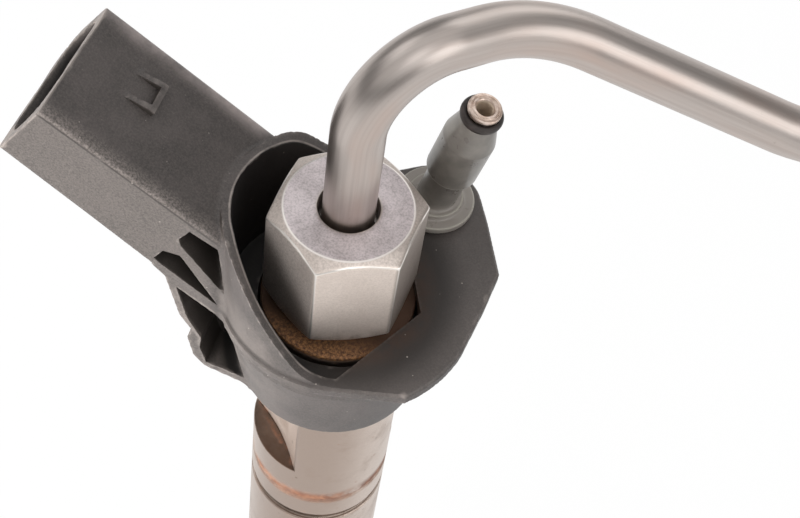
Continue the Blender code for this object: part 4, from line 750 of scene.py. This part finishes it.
def route(start, way, legs, spacing=0.5):
    """Points and headings, in mm, of a bar that runs straight, then for each leg turns on an arc of
    its radius to a new heading and runs on straight."""
    places, ways = [start[None]], [way[None]]
    for run, radius, onward in legs:
        t = np.linspace(0, run, max(2, int(run / spacing)))[1:, None]
        places.append(places[-1][-1] + way * t)
        ways.append(np.repeat(way[None], len(t), 0))
        if radius:
            angle = np.arccos(np.clip(way @ onward, -1, 1))
            inward = onward - way * (way @ onward)
            inward /= np.linalg.norm(inward)
            a = np.linspace(0, angle, int(angle * radius / spacing) + 8)[1:, None]
            places.append(places[-1][-1] + (way * np.sin(a) + inward * (1 - np.cos(a))) * radius)
            ways.append(way * np.cos(a) + inward * np.sin(a))
            way = onward
    return np.concatenate(places), np.concatenate(ways)


TIP_R, SHOULDER_R, SHOULDER_L = 2.0, 4.7, 0.5
cone_l = (SHOULDER_R - TIP_R) / tan(radians(30))
HEAD_END = cone_l + SHOULDER_L + SHOULDER_R - PIPE_R
head_steps = (0, TIP_R), (cone_l, SHOULDER_R), (cone_l + SHOULDER_L, SHOULDER_R), (HEAD_END, PIPE_R)
NUT_FOOT_AT, NUT_TALL = 141.7 - PIPE_TIP, 16.3
NUT_TOP_AT = NUT_FOOT_AT + NUT_TALL
UP = np.array([0.0, 0, 1])
turns = (49.5, -9.0), (14.5, -23.0), (14.5, 0.0)
GO_1, GO_2, GO_3 = (heading(*np.radians(turn)) for turn in turns)
run_in = HEAD_END + 1.2
path, ways = route(
    UP * (PIPE_TIP + run_in), UP,
    (
        (NUT_TOP_AT + 13.9 - run_in, 9.4, GO_1), (4.0, 23.0, GO_2), (26.0, 23.0, GO_3),
        (NUT_TOP_AT + 15.0 - run_in, 0, None),
    ),
)
pipe_end = path[-1] + GO_3 * run_in


def swept(path, ways, radii, around):
    """A round section carried along a path: at each point a circle across the heading, measured
    from a sideways direction that the pipe never points along. Also the place of each point on the
    straightened pipe: around it, and the length run."""
    aside = np.array([sin(radians(32)), -cos(radians(32)), 0])
    across = aside - ways * (ways @ aside)[:, None]
    across /= np.linalg.norm(across, axis=1)[:, None]
    over = np.cross(ways, across)
    a = np.linspace(0, 2 * pi, around, endpoint=False)[None, :, None]
    ring = across[:, None] * np.cos(a) + over[:, None] * np.sin(a)
    gone = np.concatenate([[0], np.cumsum(np.linalg.norm(np.diff(path, axis=0), axis=1))])
    flat = np.cos(a) * radii[:, None, None], np.sin(a) * radii[:, None, None]
    flat = np.concatenate([*flat, np.repeat(gone[:, None, None], around, 1)], -1)
    return (path[:, None] + ring * radii[:, None, None]) * MM, flat * MM


head_line = soften([(0, PIPE_BORE), *head_steps, (run_in, PIPE_R)], 0.35)
lead_in, radius_in = head_line[:, 0], head_line[:, 1]
tip = UP * PIPE_TIP
outer_path = np.concatenate([tip + lead_in[:-1, None] * UP, path, pipe_end - lead_in[-2::-1, None] * GO_3])
ends_in, ends_out = (np.repeat(way[None], len(lead_in) - 1, 0) for way in (UP, GO_3))
outer_ways = np.concatenate([ends_in, ways, ends_out])
outer_r = np.concatenate([radius_in[:-1], np.full(len(path), PIPE_R), radius_in[-2::-1]])
pipe_path = np.concatenate([outer_path, outer_path[::-4]])
pipe_ways = np.concatenate([outer_ways, outer_ways[::-4]])
pipe_radii = np.concatenate([outer_r, np.full(len(outer_path[::-4]), PIPE_BORE)])
grid, straight = swept(pipe_path, pipe_ways, pipe_radii, 64)
pipe = skin("bent_pipe", grid, "injector", ring=True, straight=straight.reshape(-1, 3))
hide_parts("high_pressure_pipe")

drawn_steel, shader, place, own = new_finish("drawn_steel", 1.0)
along = own("straight", "Vector")
drawing = along.stretch(1, 1, 0.02).noise(0.0005, 4, 0.65)
warm, blotch = along.stretch(1, 1, 0.25).noise(0.006, 3), place.noise(0.0035, 4, 0.6)
speck = place.noise(0.0009, 4, 0.7)
steel = drawing.ramp(0.2, 0.8).mix(srgb(178, 168, 162), srgb(196, 187, 181))
steel = warm.ramp(0.45, 0.75).mix(steel, srgb(192, 173, 163))
steel = (speck.ramp(0.66, 0.8) * 0.6).mix(steel, srgb(120, 100, 88))
steel.to(shader, "Base Color")
(drawing * 0.05 + blotch * 0.06 + 0.30).to(shader, "Roughness")
(drawing * 0.3 + speck * 0.4).bump(0.08, 0.00004).to(shader, "Normal")
pipe.data.materials.append(drawn_steel)

# Union nuts. Two 17 mm hexagon nuts turned and cut from bar, chamfered at both ends and threaded
# M14 x 1.5, one tightened on the body's stub and one loose for the rail.


def nut_surface(frame_matrix, turn_by, thread_from, sectors=24):
    """Round the nut, the radius is that of a hexagon with worn corners: half the width over flats
    divided by the cosines of the angle to the three pairs of flats, as a high-power mean. Each
    end's chamfer cone cuts it at a height that falls with the radius. Inside, a triangle wave of
    height and angle makes the thread."""
    flats, top_land, foot_land, slope = 8.5, 7.8, 8.3, tan(radians(32))
    t = np.sin(np.linspace(-pi / 2, pi / 2, sectors, endpoint=False)) * pi / 6
    a = (np.arange(6)[:, None] * pi / 3 + t).ravel() + pi / 6
    mean = sum(np.abs(np.cos(a - pi / 6 - k * pi / 3)) ** 90 for k in range(3))
    hexagon = flats / mean ** (1 / 90)
    hole, room, lead, roll = 3.7, 6.2, 0.35, top_land + 0.25
    top, foot = NUT_TOP_AT, NUT_FOOT_AT
    top_z = top - slope * np.maximum(hexagon - top_land, 0)
    foot_z = foot + slope * np.maximum(hexagon - foot_land, 0)
    thread_z = np.linspace(foot + 1.0, thread_from, 56)
    wave = np.abs(((thread_z[:, None] + PIPE_TIP) / THREAD_PITCH - a / (2 * pi)) % 1 - 0.5) * 2
    thread_r = 6.95 + 0.55 * np.clip(1.1 - wave * 1.25, 0, 1)
    stations = [
        (hole, top - 6), (hole, top - lead), (hole + 0.08, top - 0.1), (hole + lead, top),
        (hole + 2 * lead, top), (top_land - 0.3, top), (top_land - 0.1, top - 0.01),
        (top_land + 0.1, top - 0.07), (roll, top - 0.16),
    ]
    for share in (0.4, 0.75, 0.9):
        r = roll + (hexagon - roll) * share
        stations.append((r, top - slope * (r - top_land)))
    stations += [
        (hexagon - 0.07, top_z + 0.02), (hexagon - 0.02, top_z - 0.06), (hexagon, top_z - 0.16),
        (hexagon, top_z - lead),
    ]
    stations += [(hexagon, top_z - lead + (foot_z - top_z + 2 * lead) * share) for share in (0.25, 0.5, 0.75)]
    stations += [
        (hexagon, foot_z + lead), (hexagon, foot_z + 0.16), (hexagon - 0.02, foot_z + 0.06),
        (hexagon - 0.07, foot_z - 0.02), ((hexagon + foot_land) / 2, (foot_z + foot) / 2),
        (foot_land, foot), (foot_land - 0.2, foot), (7.75, foot), (7.5, foot + 0.1), (7.15, foot + 0.6),
        *zip(thread_r, thread_z),
        (7.15, thread_from + 0.2), (room, thread_from + 0.3), (room, 7.6), (hole, 7.6),
    ]
    r, z = (np.array([station[i] + 0 * a for station in stations]) for i in (0, 1))
    local = np.stack([r * np.cos(a + turn_by), r * np.sin(a + turn_by), z], -1) * MM
    return moved(local, frame_matrix), local.reshape(-1, 3)


NUT_TURN = radians(26.8)
tip_frame = Matrix.Translation((0, 0, PIPE_TIP * MM))
rail_frame = np.eye(4)
back = -GO_3
sideways = np.cross(UP, back)
rail_frame[:3, :3] = np.stack([sideways, np.cross(back, sideways), back], 1)
rail_frame[:3, 3] = pipe_end * MM
nuts = []
for name, node, body, at in (
    ("pipe_nut_steel", "union_nut", "pipe_nut", tip_frame),
    ("rail_nut_steel", "rail_union_nut", "rail_nut", rail_frame),
):
    grid, local = nut_surface(at, NUT_TURN, 4.2)
    made = skin(name, grid, body, ring=True, smooth=30, straight=local)
    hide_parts(node)
    nuts.append(made)

nut_finish, shader, place, own = new_finish("satin_nut_steel", 1.0)
wear, local = own("edge"), own("straight", "Vector")
height, radius = local.axis("Z"), local.stretch(1, 1, 0).length()
grain = local.noise(0.00026, 4, 0.7)
cloud, fine = local.noise(0.004, 4, 0.6), local.noise(0.00014, 2)
top_face = height.ramp(0.0118, 0.01187)
land = (radius - 0.0078).near(0.00006, 0.00016)
pits = grain.ramp(0.32, 0.6)
bright = wear.ramp(0.5, 1.6).top(top_face * land)
steel = cloud.ramp(0.3, 0.7).mix(srgb(202, 190, 182), srgb(218, 207, 199))
mottled = (pits * 0.6 + cloud.ramp(0.35, 0.65) * 0.4).mix(srgb(172, 163, 164), srgb(232, 222, 224))
steel = (grain.ramp(0.35, 0.7) * 0.6).mix(steel, srgb(162, 150, 142))
# Painted light and shade: on each nut one flat is painted lighter and the next one darker.
for flat_at, amount, tone in ((270, 0.5, srgb(238, 224, 213)), (330, 0.7, srgb(145, 134, 126))):
    flat_way = NUT_TURN + radians(flat_at)
    to_flat = local.axis("X") * cos(flat_way) + local.axis("Y") * sin(flat_way)
    steel = (to_flat.ramp(0.0080, 0.0084) * amount).mix(steel, tone)
steel = (top_face * 0.9).mix(steel, mottled)
# The nut is painted darker brown towards its foot, in patches.
steel = (height.under(-0.0042, -0.0010) * cloud.ramp(0.35, 0.6) * 0.6).mix(steel, srgb(120, 104, 92))
bright.mix(steel, srgb(238, 232, 226)).to(shader, "Base Color")
(0.36 + grain * 0.14 - bright * 0.12 + top_face * 0.1).to(shader, "Roughness")
(0.84 + bright * 0.12).to(shader, "Metallic")
((grain * 0.7 + fine * 0.3) * (top_face * 0.7 + 0.3)).bump(0.3, 0.00008).to(shader, "Normal")
for made in nuts:
    made.data.materials.append(nut_finish)

# Return nipple. Grey moulded nylon on a flat disc, pressed into the plate and leaning outwards; a
# rolled brass bush in its mouth holds a small rubber ring.

DISC_AT, NIPPLE_L, STEM_R = 141.3, 19.4, 2.65
lean_out, lean_turn = radians(11), radians(-12)
lean = heading(lean_turn, pi / 2 - lean_out)
lean_base = np.array([NIPPLE_X, NIPPLE_Y, DISC_AT + 1.0])
side = np.cross([0.0, 1, 0], lean)
side /= np.linalg.norm(side)
over = np.cross(lean, side)


def nipple_surface(around=96):
    """Rows of circles, joined into a ring: upright ones about the disc's axis, leaning ones about the
    stem's, and where the stem or its bore meets a flat of the disc, the points of the leaning tube
    at that height: along the lean by the height still to go, over the lean's own rise."""
    a = np.linspace(0, 2 * pi, around, endpoint=False)[:, None]

    def upright(radius, z):
        return np.concatenate([NIPPLE_X + radius * np.cos(a), NIPPLE_Y + radius * np.sin(a), z + 0 * a], 1)

    def leaning(radius, along):
        return lean_base + radius * (np.cos(a) * side + np.sin(a) * over) + along * lean

    def meeting(radius, z):
        rim = leaning(radius, 0)
        return rim + (z - rim[:, 2:]) / lean[2] * lean

    end, step = DISC_AT - 3.6, DISC_AT + 1.7
    foot = [
        (2.1, end), (2.5, end), (2.5, DISC_AT), (5.2, DISC_AT), (5.2, DISC_AT + 1.0), (3.8, DISC_AT + 1.0),
        (3.6, step), (3.3, step),
    ]
    rows = [upright(r, z) for r, z in soften(foot, 0.25)]
    fillet = (0.4, 0), (0.2, 0.06), (0.06, 0.2), (0, 0.4)
    rows += [meeting(STEM_R + more, step + rise) for more, rise in fillet]
    stem = [
        (STEM_R, 1.9), (STEM_R, 7.4), (3.38, 7.7), (3.38, 15.2), (2.3, NIPPLE_L), (1.8, NIPPLE_L),
        (1.8, NIPPLE_L - 9.3), (1.05, NIPPLE_L - 9.3), (1.05, -2.0),
    ]
    rows += [leaning(r, s) for r, s in soften(stem, 0.14)]
    return np.array(rows + [meeting(1.05, end)]) * MM


nipple_piece = skin("moulded_nipple", nipple_surface(), "injector", ring=True, smooth=50)
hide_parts("return_nipple")

grey_nylon, shader, place, own = new_finish("grey_nylon", 0.0, Specular_IOR_Level=0.5)
cloud, grain = place.noise(0.003, 4, 0.6), place.noise(0.0003, 3)
wear = own("edge").ramp(0.5, 1.8)
# Painted light: the disc and the foot of the stem are painted lighter.
lit_disc = (place.axis("Z") - DISC_AT * MM).under(0.0015, 0.0033)
grey = cloud.ramp(0.3, 0.7).mix(srgb(104, 99, 94), srgb(126, 121, 114))
grey = (lit_disc * 0.7).mix(grey, srgb(158, 151, 144))
(wear * 0.6).mix(grey, srgb(168, 164, 152)).to(shader, "Base Color")
(cloud * 0.15 + 0.22).to(shader, "Roughness")
grain.bump(0.12, 0.00004).to(shader, "Normal")
nipple_piece.data.materials.append(grey_nylon)

lean_frame = np.eye(4)
lean_frame[:3, :3] = np.stack([side, over, lean], 1)
lean_frame[:3, 3] = lean_base * MM
FLANGE = NIPPLE_L + 0.3 + 0.96 + 0.3
bush_points = turned(
    soften(
        [
            (1.05, NIPPLE_L - 9.0), (1.05, FLANGE + 0.4), (1.25, FLANGE + 0.68), (1.6, FLANGE + 0.7),
            (1.7, FLANGE + 0.58), (1.8, FLANGE + 0.7), (2.16, FLANGE + 0.62), (2.16, FLANGE),
            (1.5, FLANGE), (1.5, NIPPLE_L - 9.0),
        ],
        0.14, ring=True,
    ),
    64,
)
bush_grid = moved(bush_points, lean_frame)
bush = skin("nipple_bush_brass", bush_grid, "injector", ring=True, straight=bush_points.reshape(-1, 3))
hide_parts("nipple_bush")
brass, shader, place, own = new_finish("worn_brass", 1.0)
tarnish = place.noise(0.0009, 4, 0.6)
bore = own("straight", "Vector").stretch(1, 1, 0).length().under(0.00108, 0.00116)
worn_face = tarnish.ramp(0.3, 0.7).mix(srgb(232, 214, 202), srgb(196, 172, 156))
bore.mix(worn_face, srgb(204, 186, 166)).to(shader, "Base Color")
(tarnish * 0.2 + 0.26 + bore * 0.2).to(shader, "Roughness")
(1 - bore * 0.7).to(shader, "Metallic")
place.noise(0.0002, 2).bump(0.1, 0.00003).to(shader, "Normal")
bush.data.materials.append(brass)

t = np.linspace(0, 2 * pi, 24, endpoint=False)
ring_line = np.stack([2.28 + 0.48 * np.cos(t), NIPPLE_L + 0.70 + 0.63 * np.sin(t)], 1)
o_ring = skin("nipple_seal", turned(ring_line, 64, lean_frame), "injector", ring=True)
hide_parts("nipple_o_ring")
seal_rubber, shader, place, own = new_finish("seal_rubber", 0.0)
bloom = place.noise(0.0012, 4, 0.6)
bloom.ramp(0.3, 0.8).mix(srgb(32, 27, 25), srgb(60, 52, 49)).to(shader, "Base Color")
(bloom * 0.2 + 0.42).to(shader, "Roughness")
place.noise(0.0002, 2).bump(0.1, 0.00003).to(shader, "Normal")
o_ring.data.materials.append(seal_rubber)

# Photo stand. A white table with soft lamps over it, in a dome that is white at the horizon and grey
# above, and the camera where the photograph was taken.

bpy.ops.mesh.primitive_plane_add(size=20, location=(0, 0, -0.021))
table = bpy.context.object
table.name = "white_table"
table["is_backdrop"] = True
paper, shader, place, own = new_finish("white_paper", 0.0, Roughness=0.9)
shader.inputs["Base Color"].default_value = (0.93, 0.93, 0.93, 1)
seen = place.node("LightPath", {}, {}, "Is Camera Ray")
for ray in ("Is Glossy Ray", "Is Transmission Ray"):
    seen = seen.top(place.node("LightPath", {}, {}, ray))
white = place.node("Emission", {}, {"Color": (1, 1, 1, 1), "Strength": 1.0})
lit = Shade(place.tree, shader.outputs["BSDF"])
lit = place.node("MixShader", {}, {0: seen * 0.95, 1: lit, 2: white})
lit.to(place.tree.nodes["Material Output"], "Surface")
table.data.materials.append(paper)

room = bpy.data.worlds.new("studio")
bpy.context.scene.world = room
room.use_nodes = True
tree = room.node_tree
sky = Shade(tree, tree.nodes.new("ShaderNodeTexCoord").outputs["Generated"])
dome = sky.axis("Z").ramp(0.02, 0.14).mix((1.0, 1.0, 1.0), (0.24, 0.24, 0.24))
dome.to(tree.nodes["Background"], "Color")
tree.nodes["Background"].inputs["Strength"].default_value = 1.0

for name, way, size, power, mirrored in (
    ("ceiling_lamp", (0, -0.16, 0.78), 1.6, 4.6, True),
    ("window_lamp", (0.80, -0.25, 0.46), 0.6, 2.2, True),
    ("key_lamp", (0.2, -0.36, 0.85), 0.4, 0.6, True),
    ("back_lamp", (0.12, 0.75, 0.48), 0.55, 1.2, True),
    ("left_lamp", (-0.62, 0.20, 0.72), 0.5, 0.7, True),
    ("side_lamp", (-0.52, -0.78, 0.14), 0.7, 16.5, False),
):
    lamp = bpy.data.lights.new(name, "AREA")
    lamp.size, lamp.energy = size, power
    stand = bpy.data.objects.new(name, lamp)
    bpy.context.scene.collection.objects.link(stand)
    stand.visible_glossy = mirrored
    stand.location = Vector((0, 0, 0.15)) + Vector(way)
    stand.rotation_euler = Vector(way).to_track_quat("Z", "Y").to_euler()

view = bpy.data.cameras.new("photo_view")
view.lens, view.sensor_width = 72.6214, 36
eye = bpy.data.objects.new("photo_view", view)
bpy.context.scene.collection.objects.link(eye)
right, down = np.array([0.944689, 0.312901, 0.098268]), np.array([0.312748, -0.76924, -0.557189])
turn_to = np.eye(4)
turn_to[:3, :3] = np.stack([right, -down, np.cross(right, -down)], 1)
turn_to[:3, 3] = (0.0261756, -0.1079995, 0.3107461)
eye.matrix_world = Matrix(turn_to.tolist())
bpy.context.scene.camera = eye
bpy.context.scene.view_settings.view_transform = "Standard"

size = {"cad": [list(map(float, c)) for c in cad_box], "visual": [list(map(float, c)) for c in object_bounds()]}
